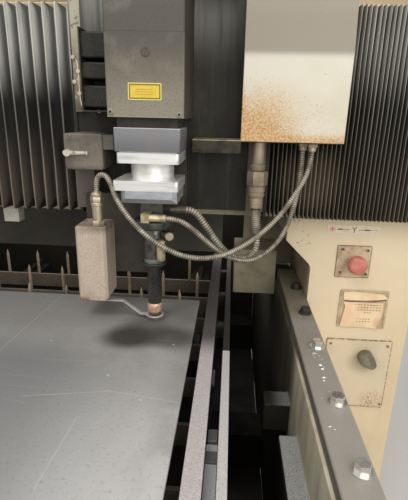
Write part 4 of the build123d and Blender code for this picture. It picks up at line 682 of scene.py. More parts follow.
class Form:  # gathers rings of points and the faces between them
    tiny = 0.00001

    def __init__(self):
        self.points = []
        self.faces = []
        self.slots = []

    def rings(self, rows, slot=0, capped=True, closed=False):
        start, count = len(self.points), len(rows[0])
        for row in rows:
            self.points.extend(tuple(point) for point in row)
        for i in range(len(rows) if closed else len(rows) - 1):
            here, there = start + i * count, start + (i + 1) % len(rows) * count
            for j in range(count):
                k = (j + 1) % count
                self.faces.append((here + j, here + k, there + k, there + j))
                self.slots.append(slot[i] if isinstance(slot, list) else slot)
        if capped and not closed:
            self.faces.append(tuple(start + j for j in reversed(range(count))))
            self.faces.append(tuple(start + (len(rows) - 1) * count + j for j in range(count)))
            self.slots.extend([slot[0], slot[-1]] if isinstance(slot, list) else [slot, slot])
        return self

    def turned(self, centre, axis, profile, sides=24, slot=0, turn=0.0, capped=True):
        along = Vector(axis).normalized()
        side = along.orthogonal().normalized()
        up = along.cross(side)
        rows = []
        for height, radius in profile:
            middle = Vector(centre) + along * height
            row = []
            for k in range(sides):
                angle = turn + math.tau * k / sides
                row.append(middle + (side * math.cos(angle) + up * math.sin(angle)) * radius)
            rows.append(row)
        return self.rings(rows, slot, capped)

    def plate(self, low, high, corner, edge, axis=1, slot=0, steps=4):  # eased plate across an axis
        a, b = [k for k in range(3) if k != axis]
        rows = []
        for depth, inset in ((low[axis], edge), (low[axis] + edge, 0), (high[axis] - edge, 0), (high[axis], edge)):
            row = []
            reach = corner - inset
            corners = ((high[a], high[b], 0), (low[a], high[b], 90), (low[a], low[b], 180), (high[a], low[b], 270))
            for across, tall, first in corners:
                middle = (across + (corner if across == low[a] else -corner),
                          tall + (corner if tall == low[b] else -corner))
                for s in range(steps + 1):
                    angle = math.radians(first + 90 * s / steps)
                    point = [0.0, 0.0, 0.0]
                    point[axis] = depth
                    point[a] = middle[0] + reach * math.cos(angle)
                    point[b] = middle[1] + reach * math.sin(angle)
                    row.append(point)
            rows.append(row)
        return self.rings(rows, slot)

    def screw(self, centre, axis, radius, tall, slot=0, inner=1):  # round head with a socket
        edge = min(radius, tall) * 0.22
        mouth, floor, deep = radius * 0.56, radius * 0.5, tall * 0.45
        profile = [(0, radius), (tall - edge, radius), (tall - edge * 0.3, radius - edge * 0.3)]
        self.turned(centre, axis, profile + [(tall, radius - edge), (tall, mouth)], 20, slot, capped=False)
        self.turned(centre, axis, [(tall, mouth), (deep, floor)], 20, inner, capped=False)
        self.turned(centre, axis, [(tall * 0.44, floor), (deep, radius * 0.49)], 20, inner)
        return self

    def nut(self, centre, axis, radius, tall, slot=0, turn=0.3):
        profile = [(0, radius * 0.93), (tall * 0.12, radius), (tall * 0.88, radius), (tall, radius * 0.93)]
        return self.turned(centre, axis, profile, 6, slot, turn)

    def piece(self, name, finishes, sharp=38):
        mesh = bpy.data.meshes.new(name)
        mesh.from_pydata(self.points, [], self.faces)
        for finish in finishes:
            mesh.materials.append(finish)
        mesh.polygons.foreach_set("material_index", self.slots)
        tidied = bmesh.new()
        tidied.from_mesh(mesh)
        bmesh.ops.remove_doubles(tidied, verts=tidied.verts, dist=self.tiny)
        bmesh.ops.recalc_face_normals(tidied, faces=tidied.faces)
        tidied.to_mesh(mesh)
        tidied.free()
        mesh.polygons.foreach_set("use_smooth", [True] * len(mesh.polygons))
        mesh.set_sharp_from_angle(angle=math.radians(sharp))
        made = bpy.data.objects.new(name, mesh)
        bpy.context.scene.collection.objects.link(made)
        return made

    def rim(self, centre, size, width, deep, corner, face, slot=0):  # closed frame on an upright face
        section = ((0.0, 0.0), (0.0, 0.6), (0.15, 1.0), (0.85, 1.0), (1.0, 0.6), (1.0, 0.0))
        rows = []
        for sideX, sideZ, first in ((1, 1, 0), (-1, 1, 90), (-1, -1, 180), (1, -1, 270)):
            for s in range(5):
                angle = math.radians(first + 22.5 * s)
                row = []
                for share, front in section:
                    bend = corner * (1 - share * 0.6)
                    reach = width * share + bend
                    x = centre[0] + sideX * (size[0] / 2 - reach) + bend * math.cos(angle)
                    z = centre[1] + sideZ * (size[1] / 2 - reach) + bend * math.sin(angle)
                    row.append((x, face - deep * front, z))
                rows.append(row)
        return self.rings(rows, slot, closed=True)

    def stroke(self, start, end, width, front, slot):  # a flat stroke on an upright face
        along = Vector((end[0] - start[0], end[1] - start[1])).normalized()
        aside = Vector((-along.y, along.x)) * width / 2
        corners = [(start[0] + aside.x, start[1] + aside.y), (end[0] + aside.x, end[1] + aside.y),
                   (end[0] - aside.x, end[1] - aside.y), (start[0] - aside.x, start[1] - aside.y)]
        depths = (front - 0.0002, front + 0.0004)
        return self.rings([[(x, depth, z) for x, z in corners] for depth in depths], slot)

    def on(self, body, name, finishes, sharp=38, instead=(), slot=None):
        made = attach(self.piece(name, finishes, sharp), body)
        if instead:
            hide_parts(*instead)
        return made


# Folded bellows

bellows = {  # "fold" pairs a place within a fold with its share of the depth
    "back": 0.1582, "front": 0.100, "low": 1.115, "high": 1.552, "depth": 0.022, "wall": 0.0016, "round": 0.007,
    "flank": 0.03, "steps": 13, "bendSteps": 3, "wave": 0.0022, "ripple": 0.001, "sway": 0.0012, "uneven": 0.1,
    "sides": {
        "bellowsLeft": {"node": "bellows_left", "fixed": -1.2, "moving": 0.218, "folds": 53,
                        "cloth": ((88, 78, 66), (30, 29, 26), (228, 228, 221), (24, 23, 21))},
        "bellowsRight": {"node": "bellows_right", "fixed": 1.2, "moving": 0.646, "folds": 58,
                         "cloth": ((92, 83, 68), (70, 68, 60), (196, 195, 187), (36, 34, 30))},
    },
    "fold": ((-0.05, 0.0), (0.05, 0.0), (0.075, 0.12), (0.46, 0.97), (0.5, 1.0), (0.54, 0.97), (0.925, 0.12)),
    "held": 0.06,  # the first stations of a bellows, in folds, stay on its fixed end
}


def bellowsOutline(inset, thick, x):  # corners (y, z) from the back, round the front, to the back again
    d = bellows
    low, high, front = d["low"] + inset + thick, d["high"] - inset - thick, d["front"] + inset + thick
    bend = d["round"]
    points = [(d["back"], low), (front + d["flank"], low)]
    turns = [math.radians(90 * s / d["bendSteps"]) for s in range(d["bendSteps"] + 1)]
    for angle in turns:
        points.append((front + bend - bend * math.sin(angle), low + bend - bend * math.cos(angle)))
    for s in range(1, d["steps"]):
        z = low + bend + (high - low - 2 * bend) * s / d["steps"]
        wave = noise.noise(Vector((x * 9, z * 5, 3.0))) * d["wave"]
        wave += noise.noise(Vector((x * 60, z * 14, 8.0))) * d["ripple"]
        points.append((front + max(wave, -0.0004), z))
    for angle in turns:
        points.append((front + bend - bend * math.cos(angle), high - bend + bend * math.sin(angle)))
    return points + [(front + d["flank"], high), (d["back"], high)]


for name, side in bellows["sides"].items():
    length = side["moving"] - side["fixed"]
    rows = []
    for fold in range(side["folds"]):
        for share, deep in bellows["fold"]:
            place = fold + share
            x = side["fixed"] + length * place / side["folds"]
            x += length / side["folds"] * bellows["uneven"] * noise.noise(Vector((fold * 0.9, 4.0, 1.0)))
            if place < bellows["held"]:
                x = side["fixed"]
            outer = bellowsOutline(deep * bellows["depth"], 0.0, x)
            inner = bellowsOutline(deep * bellows["depth"], bellows["wall"], x)
            sway = [bellows["sway"] * noise.noise(Vector((fold * 1.7, z * 7, 6.0))) for _, z in outer]
            edge = 0.0 if fold in (0, side["folds"] - 1) else 1.0
            row = [(x + edge * move, y, z) for (y, z), move in zip(outer, sway)]
            row += [(x + edge * move, y, z) for (y, z), move in zip(reversed(inner), reversed(sway))]
            rows.append(row)
    closing = [(side["moving"], y, z) for _, y, z in rows[0]]
    rows.append(closing)
    form = Form().rings(rows)
    cloth = clothFinish(name + "Cloth", *side["cloth"])
    made = form.piece(name, [cloth], 30)
    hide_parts(side["node"])
    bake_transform(made)
print("bellows done")

# Metal hoses

hoses = {
    "sensorHose": {
        "node": "sensor_hose", "diameter": 0.011, "length": 0.67, "pitch": 0.0046,
        "route": [(0.293, -0.008, 1.184), (0.293, -0.008, 1.202), (0.299, -0.011, 1.217), (0.315, -0.017, 1.220),
                  (0.329, -0.028, 1.204), (0.344, -0.048, 1.175), (0.380, -0.064, 1.132), (0.426, -0.067, 1.094),
                  (0.480, -0.058, 1.066), (0.540, -0.033, 1.058), (0.600, -0.002, 1.078), (0.660, 0.024, 1.124),
                  (0.702, 0.040, 1.184), (0.728, 0.050, 1.234), (0.728, 0.050, 1.270)],
    },
    "signalHose": {
        "node": "signal_hose", "diameter": 0.011, "length": 0.494, "pitch": 0.0046,
        "route": [(0.440, -0.044, 1.141), (0.464, -0.044, 1.141), (0.492, -0.035, 1.121), (0.528, -0.020, 1.083),
                  (0.568, -0.004, 1.050), (0.614, 0.013, 1.039), (0.657, 0.031, 1.060), (0.689, 0.048, 1.104),
                  (0.706, 0.063, 1.162), (0.713, 0.074, 1.220), (0.713, 0.074, 1.270)],
    },
    "gasHose": {
        "node": "gas_hose", "diameter": 0.015, "length": 0.302, "pitch": 0.0056,
        "route": [(0.476, 0.008, 1.149), (0.492, 0.008, 1.149), (0.516, 0.010, 1.116), (0.544, 0.014, 1.074),
                  (0.570, 0.020, 1.048), (0.600, 0.031, 1.036), (0.626, 0.042, 1.052), (0.627, 0.047, 1.090),
                  (0.621, 0.048, 1.122), (0.620, 0.048, 1.150)],
    },
}
ribs = {"steps": 4, "radii": (1.0, 1.0, 0.86, 0.86), "slots": (0, 0, 1, 0)}
hoseRidge = hoseFinish("hoseRidge", (172, 165, 149), (108, 101, 88), (208, 203, 189))
# painted shade in the grooves between the hose's ribs
hoseGrooveShade = hoseFinish("hoseGrooveShade", (84, 76, 66), (52, 46, 40), (120, 112, 98))


def smoothLine(route):  # points along the NURBS line whose control points are the route's
    curve = bpy.data.curves.new("hoseLine", "CURVE")
    curve.dimensions = "3D"
    spline = curve.splines.new("NURBS")
    spline.points.add(len(route) - 1)
    for point, place in zip(spline.points, route):
        point.co = (*place, 1)
    spline.order_u = 3
    spline.use_endpoint_u = True
    spline.resolution_u = 40
    holder = bpy.data.objects.new("hoseLine", curve)
    bpy.context.scene.collection.objects.link(holder)
    bpy.context.view_layer.update()
    mesh = bpy.data.meshes.new_from_object(holder)
    line = [vertex.co.copy() for vertex in mesh.vertices]
    bpy.data.objects.remove(holder)
    bpy.data.meshes.remove(mesh)
    bpy.data.curves.remove(curve)
    return line


def stationsAlong(line, step):  # places at even steps along a line
    walked = [0.0]
    for first, second in zip(line, line[1:]):
        walked.append(walked[-1] + (second - first).length)
    count = round(walked[-1] / step)
    stations, i = [], 0
    for k in range(count + 1):
        distance = walked[-1] * k / count
        while i < len(line) - 2 and walked[i + 1] < distance:
            i += 1
        share = (distance - walked[i]) / max(walked[i + 1] - walked[i], 1e-9)
        stations.append(line[i].lerp(line[i + 1], share))
    return stations


def tubeRows(stations, radii, sides):  # rings square to the line; their radii repeat
    side = Vector((0, 1, 0))
    rows = []
    for k, middle in enumerate(stations):
        ahead = (stations[min(k + 1, len(stations) - 1)] - stations[max(k - 1, 0)]).normalized()
        side = (side - ahead * side.dot(ahead)).normalized()
        up = ahead.cross(side)
        row = []
        for s in range(sides):
            angle = math.tau * s / sides
            row.append(middle + (side * math.cos(angle) + up * math.sin(angle)) * radii[k % len(radii)])
        rows.append(row)
    return rows


def ribbed(stations, radii, sides):
    rows = tubeRows(stations, radii, sides)
    return Form().rings(rows, [ribs["slots"][k % ribs["steps"]] for k in range(len(rows) - 1)])


for name, hose in hoses.items():
    line = smoothLine(hose["route"])
    radii = [hose["diameter"] / 2 * share for share in ribs["radii"]]
    form = ribbed(stationsAlong(line, hose["pitch"] / ribs["steps"]), radii, 16)
    made = form.piece(name, [hoseRidge, hoseGrooveShade], 50)
    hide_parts(hose["node"])
    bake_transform(made)

gasSleeve = {"from": 0.003, "to": 0.056, "pitch": 0.0044, "radius": 0.0104, "dip": 0.0011}
first, last = (round(gasSleeve[end] / gasSleeve["pitch"] * ribs["steps"]) for end in ("to", "from"))
stations = stationsAlong(smoothLine(hoses["gasHose"]["route"]), gasSleeve["pitch"] / ribs["steps"])[-first:-last]
wide, narrow = gasSleeve["radius"], gasSleeve["radius"] - gasSleeve["dip"]
form = ribbed(stations, (wide, wide, narrow, narrow), 20)
form.on("carriage", "gasSleeve", [hoseRidge, hoseGrooveShade], 50, slot="hose_metal")
print("hoses done")

# Glands under the junction box and on the sensor

glandBrass = metalSkin("glandBrass", (184, 168, 146), (104, 92, 76), 0.42, 0.6, metallic=0.6)
glandPale = metalSkin("glandPale", (222, 208, 184), (150, 132, 106), 0.34, 0.4)
seamDark = plainInk("seamDark", (44, 38, 32), (84, 74, 62))
upwards = (0, 0, 1)
glands = {  # "turned" gives the foot of each turned part and its profile of heights and radii
    "large": {
        "at": (0.620, 0.048), "nut": (1.198, 0.0217, 0.030, 0.35),
        "turned": (
            (1.2425, [(0, 0.0120), (0.0445, 0.0120)]),
            (1.2425, [(0, 0.0126), (0.003, 0.0131), (0.006, 0.0126)]),
            (1.229, [(0, 0.0142), (0.002, 0.0156), (0.0115, 0.0156), (0.0135, 0.0138)]),
            (1.174, [(0, 0.0158), (0.002, 0.0172), (0.008, 0.0172), (0.009, 0.0160), (0.0105, 0.0160),
                     (0.0115, 0.0176), (0.0225, 0.0176), (0.024, 0.0158)]),
        ),
        "foot": 1.150, "threads": 7, "thread": 0.003,
    },
    "small": {"at": ((0.728, 0.050), (0.713, 0.074)), "bottom": 1.2705, "top": 1.287, "nut": (0.0105, 0.0085)},
    "sensor": {
        "at": (0.293, -0.008), "nuts": ((1.1122, 0.0132, 0.0115, 0.1), (1.1617, 0.0140, 0.012, 0.5)),
        "turned": (
            (1.1237, [(0, 0.0104), (0.005, 0.0108), (0.026, 0.0120), (0.031, 0.0122)]),
            (1.1547, [(0, 0.0122), (0.001, 0.0132), (0.006, 0.0133), (0.007, 0.0124)]),
            (1.1737, [(0, 0.0120), (0.001, 0.0126), (0.006, 0.0122), (0.009, 0.0092), (0.0103, 0.0066)]),
        ),
    },
}
form = Form()
gland = glands["large"]
for height, profile in gland["turned"]:
    form.turned((*gland["at"], height), upwards, profile, 24)
height, radius, tall, turn = gland["nut"]
form.nut((*gland["at"], height), upwards, radius, tall, 0, turn)
profile = [(0, 0.0128), (0.0015, 0.0146)]
for k in range(gland["threads"]):
    root = 0.003 + k * gland["thread"]
    profile += [(root, 0.0140), (root + gland["thread"] / 2, 0.0149)]
form.turned((*gland["at"], gland["foot"]), upwards, profile + [(0.0245, 0.0138)], 24)
gland = glands["small"]
radius, tall = gland["nut"]
for x, y in gland["at"]:
    form.nut((x, y, gland["top"] - tall), upwards, radius, tall, 0, 0.2 + x)
    sleeve = [(0, 0.0072), (0.001, 0.0085), (gland["top"] - gland["bottom"] - tall, 0.0085)]
    form.turned((x, y, gland["bottom"]), upwards, sleeve, 20)
form.on("carriage", "boxGlands", [glandBrass], instead=["box_glands"], slot="brass")
form = Form()
gland = glands["sensor"]
for height, radius, tall, turn in gland["nuts"]:
    form.nut((*gland["at"], height), upwards, radius, tall, 0, turn)
for height, profile in gland["turned"]:
    form.turned((*gland["at"], height), upwards, profile, 24)
form.on("lift", "sensorGland", [glandPale], instead=["sensor_gland"], slot="brass")

# Knurled screw on the barrel's lug

thumb = {"centre": (0.4435, 0.004, 1.097), "stem": 0.003, "reach": 0.0184, "radius": 0.009,
         "ribs": 18, "groove": 0.0006, "chamfer": 0.003,
         "head": ((0.0183, 0.0008), (0.0191, 0), (0.0252, 0), (0.0262, 0.0012), (0.0262, 0.005), (0.0256, 0.0056))}
form = Form()
stem = [(0, thumb["stem"] - 0.0006), (0.0008, thumb["stem"]), (thumb["reach"], thumb["stem"])]
form.turned(thumb["centre"], (0, -1, 0), stem, 16)
x, y, z = thumb["centre"]
rows = []
for depth, ease in thumb["head"]:
    row = []
    for k in range(thumb["ribs"] * 4):
        angle = math.tau * k / (thumb["ribs"] * 4)
        grooved = k % 4 > 1 and ease < thumb["chamfer"]
        radius = thumb["radius"] - ease - (thumb["groove"] if grooved else 0)
        row.append((x + radius * math.cos(angle), y - depth, z + radius * math.sin(angle)))
    rows.append(row)
form.rings(rows)
form.on("clamp_screw", "thumbScrew", [glandPale], instead=["thumb_screw"], slot="brass")

# Plates, labels and screws of the head

labelInks = [plainInk("labelYellow", (232, 202, 74), (204, 172, 60)),
             plainInk("labelDark", (124, 108, 52), (150, 132, 60)),
             plainInk("labelBorder", (240, 228, 142), (216, 200, 120)),
             plainInk("labelBars", (190, 162, 56), (214, 184, 66))]
label = {"centre": (0.4077, 1.3738), "size": (0.0595, 0.0285), "front": -0.066, "thick": 0.0007, "inset": 0.0018,
         "border": 0.0013, "frame": 0.0022, "raised": 0.00025, "bar": 0.0012,
         "bars": ((-0.016, 0.0036, 0.03), (-0.017, -0.0004, 0.034), (-0.014, -0.0046, 0.028))}
cx, cz = label["centre"]
wide, tall = label["size"][0] / 2, label["size"][1] / 2
front = label["front"] - label["thick"]
form = Form()
form.plate((cx - wide, front, cz - tall), (cx + wide, label["front"] + 0.0005, cz + tall), 0.002, 0.0002)
form.rim(label["centre"], label["size"], label["border"], label["raised"], 0.002, front + 0.0001, 2)
inner = (2 * (wide - label["inset"]), 2 * (tall - label["inset"]))
form.rim(label["centre"], inner, label["frame"], label["raised"], 0.001, front + 0.0001, 1)
for x, z, length in label["bars"]:
    form.stroke((cx + x, cz + z), (cx + x + length, cz + z), label["bar"], front, 3)
form.on("carriage", "headLabel", labelInks, slot="sensor_paint")

cover = {"plug": (0.4097, 1.4382, 0.0082), "screws": ((0.3455, 1.3388), (0.4692, 1.3362)), "front": -0.066,
         "washer": [(0, 0.0054), (0.001, 0.0054), (0.0016, 0.0047)], "head": (0.0042, 0.0036)}
plugDark = plainInk("plugDark", (88, 83, 76), (68, 64, 58))
mutedRing = plainInk("mutedRing", (158, 154, 136), (120, 114, 98), 0.6)
form = Form()
px, pz, radius = cover["plug"]
front = cover["front"]
plug = [(0, radius), (0.0018, radius), (0.0026, radius - 0.001), (0.0026, radius - 0.003),
        (0.0020, radius - 0.0034), (0.0020, 0.0005)]
form.turned((px, front + 0.001, pz), (0, -1, 0), plug, 28)
for sx, sz in cover["screws"]:
    form.turned((sx, front + 0.0005, sz), (0, -1, 0), cover["washer"], 24, 2)
    form.screw((sx, front - 0.0008, sz), (0, -1, 0), *cover["head"], 2, 1)
form.on("carriage", "coverFittings", [plugDark, seamDark, mutedRing], slot="ground_steel")
print("head pieces done")

# Axis sign, document holder and screws on the leg

signWhite = plainInk("signWhite", (226, 212, 190), (206, 186, 156), 0.5)
signRed = plainInk("signRed", (198, 104, 96), (214, 168, 150), 0.5)
signInk = plainInk("signInk", (96, 84, 72), (150, 134, 114), 0.5)
signPink = plainInk("signPink", (226, 186, 172), (222, 206, 178), 0.5)
axisSign = {  # "strokes" gives the start, the end, the width and the ink
    "centre": (0.863, 1.084), "size": (0.124, 0.021), "face": 0.150, "thick": 0.0008, "spot": (-0.0505, 0.0086),
    "strokes": (
        ((-0.056, 0.0), (-0.045, 0.0), 0.0017, 1), ((-0.0505, -0.0055), (-0.0505, 0.0055), 0.0017, 1),
        ((-0.038, 0.0), (-0.010, 0.0), 0.0011, 2), ((-0.038, 0.0), (-0.026, 0.0006), 0.0028, 2),
        ((0.011, 0.0), (0.042, 0.0), 0.0011, 2), ((0.026, 0.0003), (0.037, -0.0003), 0.0028, 2),
        ((0.045, 0.0), (0.049, 0.0), 0.0010, 2), ((0.052, 0.0), (0.056, 0.0), 0.0010, 2),
        ((-0.004, 0.0068), (0.001, 0.0), 0.0018, 2), ((0.006, 0.0068), (0.001, 0.0), 0.0018, 2),
        ((0.001, 0.0006), (0.001, -0.0076), 0.0018, 2),
    ),
}
cx, cz = axisSign["centre"]
wide, tall = axisSign["size"][0] / 2, axisSign["size"][1] / 2
face = axisSign["face"] - axisSign["thick"]
form = Form()
form.plate((cx - wide, face, cz - tall), (cx + wide, axisSign["face"] + 0.0003, cz + tall), 0.0012, 0.0002)
aside, radius = axisSign["spot"]
form.turned((cx + aside, face + 0.0002, cz), (0, -1, 0), [(0, radius), (0.0003, radius)], 28, 3)
for start, end, width, slot in axisSign["strokes"]:
    form.stroke((cx + start[0], cz + start[1]), (cx + end[0], cz + end[1]), width, face - 0.0003, slot)
form.on("frame", "axisSign", [signWhite, signRed, signInk, signPink], slot="sensor_paint")

holder = {"centre": (0.9097, 0.8785), "size": (0.120, 0.103), "face": 0.150, "deep": 0.0026, "width": 0.0058}
cx, cz = holder["centre"]
wide, tall = holder["size"][0] / 2, holder["size"][1] / 2
face = holder["face"]
form = Form()
form.plate((cx - wide, face - 0.0010, cz - tall), (cx + wide, face + 0.0004, cz + tall), 0.004, 0.0003)
form.rim(holder["centre"], holder["size"], holder["width"], holder["deep"], 0.004, face - 0.0006, 1)
pouches = [pouchFinish("cloudyPouch", (206, 187, 151), (184, 164, 130)),
           pouchFinish("pouchRim", (196, 178, 143), (168, 149, 118))]
form.on("frame", "documentHolder", pouches, slot="sensor_paint")


def bentSheet(form, left, right, lift, front, across=18, up=14):  # a thin sheet between two side lines
    start = len(form.points)
    row = across + 1
    for back in (0.0, 0.0004):
        for j in range(up + 1):
            v = j / up
            low, high = left(v), right(v)
            for i in range(row):
                u = i / across
                form.points.append((low[0] * (1 - u) + high[0] * u, front + back - lift(u, v),
                                    low[1] * (1 - u) + high[1] * u))
    behind = start + row * (up + 1)
    for j in range(up):
        for i in range(across):
            a, b = start + j * row + i, behind + j * row + i
            form.faces += [(a, a + 1, a + row + 1, a + row), (b + row, b + row + 1, b + 1, b)]
            form.slots += [0, 0]
    rim = list(range(row)) + [j * row + across for j in range(1, up + 1)]
    rim += [up * row + i for i in reversed(range(across))] + [j * row for j in reversed(range(1, up))]
    for here, there in zip(rim, rim[1:] + rim[:1]):
        form.faces.append((start + here, behind + here, behind + there, start + there))
        form.slots.append(0)


notice = {  # "rows" gives the first x, the last x and the height of each row of marks
    "pageLeft": ((0.8572, 0.8291), (0.8614, 0.8577), (0.8655, 0.8858), (0.8602, 0.8975)),
    "pageRight": ((0.9478, 0.8286), (0.9560, 0.8460), (0.9600, 0.8700), (0.9590, 0.8980)),
    "flapLeft": ((0.8607, 0.9035), (0.8590, 0.9120), (0.8590, 0.9200), (0.8600, 0.9290)),
    "flapRight": ((0.9660, 0.9100), (0.9640, 0.9140), (0.9600, 0.9180), (0.9540, 0.9219)),
    "flapEdge": ((0.8615, 0.9012), (0.8800, 0.8990), (0.9100, 0.8984), (0.9420, 0.9012), (0.9680, 0.9070)),
    "rows": ((0.8885, 0.9575, 0.8912), (0.8900, 0.9565, 0.8845), (0.8900, 0.9570, 0.8775),
             (0.9146, 0.9344, 0.8705), (0.8905, 0.9340, 0.8522), (0.8902, 0.9350, 0.8450)),
    "mark": 0.0075, "markTall": 0.0012, "behind": 0.0012, "edge": 0.0022,
}


def along(points):  # a smooth line through the given points, asked by its share
    def place(share):
        part = min(share * (len(points) - 1), len(points) - 1.0001)
        k = int(part)
        ease = part - k
        return [points[k][a] * (1 - ease) + points[k + 1][a] * ease for a in (0, 1)]
    return place


def pageLift(u, v):  # curled at its lower right corner
    return 0.0014 + 0.0022 * (1 - u) ** 3 + 0.0045 * (u * (1 - v)) ** 4 + 0.0005 * math.sin(5 * u + 2 * v)


def flapLift(u, v):  # bulging along its lower edge
    return 0.0018 + 0.0065 * (1 - v) ** 2 * (0.3 + 0.7 * math.sin(math.pi * u))


form = Form()
bentSheet(form, along(notice["pageLeft"]), along(notice["pageRight"]), pageLift, face - notice["behind"])
bentSheet(form, along(notice["flapLeft"]), along(notice["flapRight"]), flapLift, face - notice["behind"])
for k, (first, last, height) in enumerate(notice["rows"]):
    marks = round((last - first) / notice["mark"])
    step = (last - first) / marks
    for m in range(marks):
        x = first + step * m
        length = step * (0.5 + 0.35 * abs(noise.noise(Vector((m * 1.3, k * 2.1, 0.5)))))
        form.stroke((x, height), (x + length, height - 0.0002), notice["markTall"], face - 0.0033, 1)
# painted shadow line under the flap's edge
for start, end in zip(notice["flapEdge"], notice["flapEdge"][1:]):
    form.stroke(start, end, notice["edge"], face - 0.0022, 2)
flapShadowInk = plainInk("flapShadowInk", (120, 102, 80), (84, 70, 56))
form.on("frame", "oldNotice", [paperFinish(), signInk, flapShadowInk], slot="sensor_paint")

rusted = metalSkin("rustedScrew", (176, 156, 132), (112, 84, 58), 0.4, 0.7, metallic=0.6)
washerPale = plainInk("washerPale", (216, 200, 178), (166, 146, 122), 0.6)
plateScrews = {
    "places": ((0.8421, 1.0366), (0.9017, 1.0354), (0.8415, 0.9774), (0.9033, 0.9746),
               (0.8415, 0.7795), (0.9865, 0.7790), (0.8400, 0.6035), (0.9904, 0.6030)),
    "front": 0.147, "stopRadius": 0.0056, "panelRadius": 0.0044, "tall": 0.003,
}
form = Form()
front = plateScrews["front"]
for x, z in plateScrews["places"]:
    radius = plateScrews["stopRadius"] if z > 0.9 else plateScrews["panelRadius"]
    washer = [(0, radius), (0.0012, radius * 0.98), (0.0016, radius * 0.9)]
    form.turned((x, front + 0.0004, z), (0, -1, 0), washer, 20, 2)
    form.screw((x, front - 0.001, z), (0, -1, 0), radius * 0.74, plateScrews["tall"], 0, 1)
form.on("frame", "plateScrews", [rusted, seamDark, washerPale], slot="ground_steel")

# Bright chips on the right guide bar

chipBright = metalSkin("chipBright", (250, 249, 246), (214, 210, 204), 0.18, 0.3, metallic=0.7)
barChips = {  # "places" gives x, y and the reach in millimetres
    "top": 0.900, "corners": 9, "layers": ((-0.0003, 1.0), (0.0006, 0.9), (0.0012, 0.45)),
    "places": ((0.7396, -0.1141, 6.5), (0.7450, -0.1541, 5.5), (0.7464, -0.1664, 5), (0.7436, -0.1933, 6),
               (0.7272, -0.3185, 4), (0.7330, -0.3240, 2.4), (0.7480, -0.1200, 3), (0.7385, -0.1260, 2.4),
               (0.7420, -0.2030, 3), (0.7500, -0.1600, 2.6), (0.7375, -0.0640, 2.4), (0.7520, -0.1340, 2),
               (0.7290, -0.2520, 2), (0.7450, -0.2330, 1.8)),
}
form = Form()
for k, (x, y, size) in enumerate(barChips["places"]):
    reach = size / 1000
    rows = []
    for height, share in barChips["layers"]:
        row = []
        for s in range(barChips["corners"]):
            angle = math.tau * s / barChips["corners"]
            bend = 0.75 + 0.5 * noise.noise(Vector((k * 3.1, math.cos(angle) * 1.4, math.sin(angle) * 1.4)))
            out = reach * share * bend
            row.append((x + out * math.cos(angle) * 0.9, y + out * math.sin(angle) * 0.6,
                        barChips["top"] + height * size / 4))
        rows.append(row)
    form.rings(rows)
form.on("frame", "barChips", [chipBright], slot="ground_steel")
print("leg pieces done")

# Thin grease line on the carriage, beside the head cover

greaseLine = {
    "width": 0.0046, "face": 0.104, "nut": (0.0048, 0.014),
    "route": ((0.2262, 0.094, 1.4460), (0.2340, 0.094, 1.4400), (0.2355, 0.093, 1.4190), (0.2356, 0.093, 1.3750),
              (0.2370, 0.093, 1.3560), (0.2420, 0.092, 1.3440), (0.2520, 0.091, 1.3410), (0.2780, 0.090, 1.3406),
              (0.2930, 0.090, 1.3418)),
    "nuts": ((0.2354, 1.4187), (0.2356, 1.3749), (0.2262, 1.4458), (0.2262, 1.3981), (0.2760, 1.3405)),
}
form = Form()
stations = stationsAlong(smoothLine(greaseLine["route"]), 0.003)
form.rings(tubeRows(stations, (greaseLine["width"] / 2,), 10))
for x, z in greaseLine["nuts"]:
    form.nut((x, greaseLine["face"] - 0.001, z), (0, -1, 0), *greaseLine["nut"], 0, x * 40)
form.on("carriage", "greaseLine", [glandPale], slot="brass")

gapCover = {"x": (0.545, 0.5622), "y": (-0.96, -0.327), "top": 0.8605, "thick": 0.003,
            "clamp": ((0.546, -0.326, 0.856), (0.5618, -0.300, 0.866)),
            "tab": ((0.5440, -0.184, 0.8600), (0.5505, -0.139, 0.8680))}
form = Form()
form.plate((gapCover["x"][0], gapCover["y"][0], gapCover["top"] - gapCover["thick"]),
           (gapCover["x"][1], gapCover["y"][1], gapCover["top"]), 0.001, 0.0004, axis=2)
form.plate(*gapCover["clamp"], 0.002, 0.0012, axis=2, slot=1)
form.plate(*gapCover["tab"], 0.0015, 0.001, axis=2, slot=1)
form.on("table", "gapCover", [finishOf["gap"], finishOf["strip"]], slot="ground_steel")

# Plates on the backs of the legs that close the throats beside the curtain

throatPlate = {"x": (0.612, 0.800), "y": (0.4802, 0.4832), "z": (0.8765, 1.1045), "corner": 0.006,
               "screwX": 0.786, "screwZ": (0.905, 1.085)}
form = Form()
for sideX in (-1, 1):
    first, last = sorted(sideX * x for x in throatPlate["x"])
    (near, far), (low, high) = throatPlate["y"], throatPlate["z"]
    form.plate((first, near, low), (last, far, high), throatPlate["corner"], 0.0004)
    for z in throatPlate["screwZ"]:
        form.screw((sideX * throatPlate["screwX"], far - 0.0002, z), (0, 1, 0), 0.006, 0.004, 1, 2)
form.on("frame", "throatPlates", [finishOf["beam"], finishOf["screw"], seamDark], slot="grey_paint")

# CAD pieces: finish and eased edges

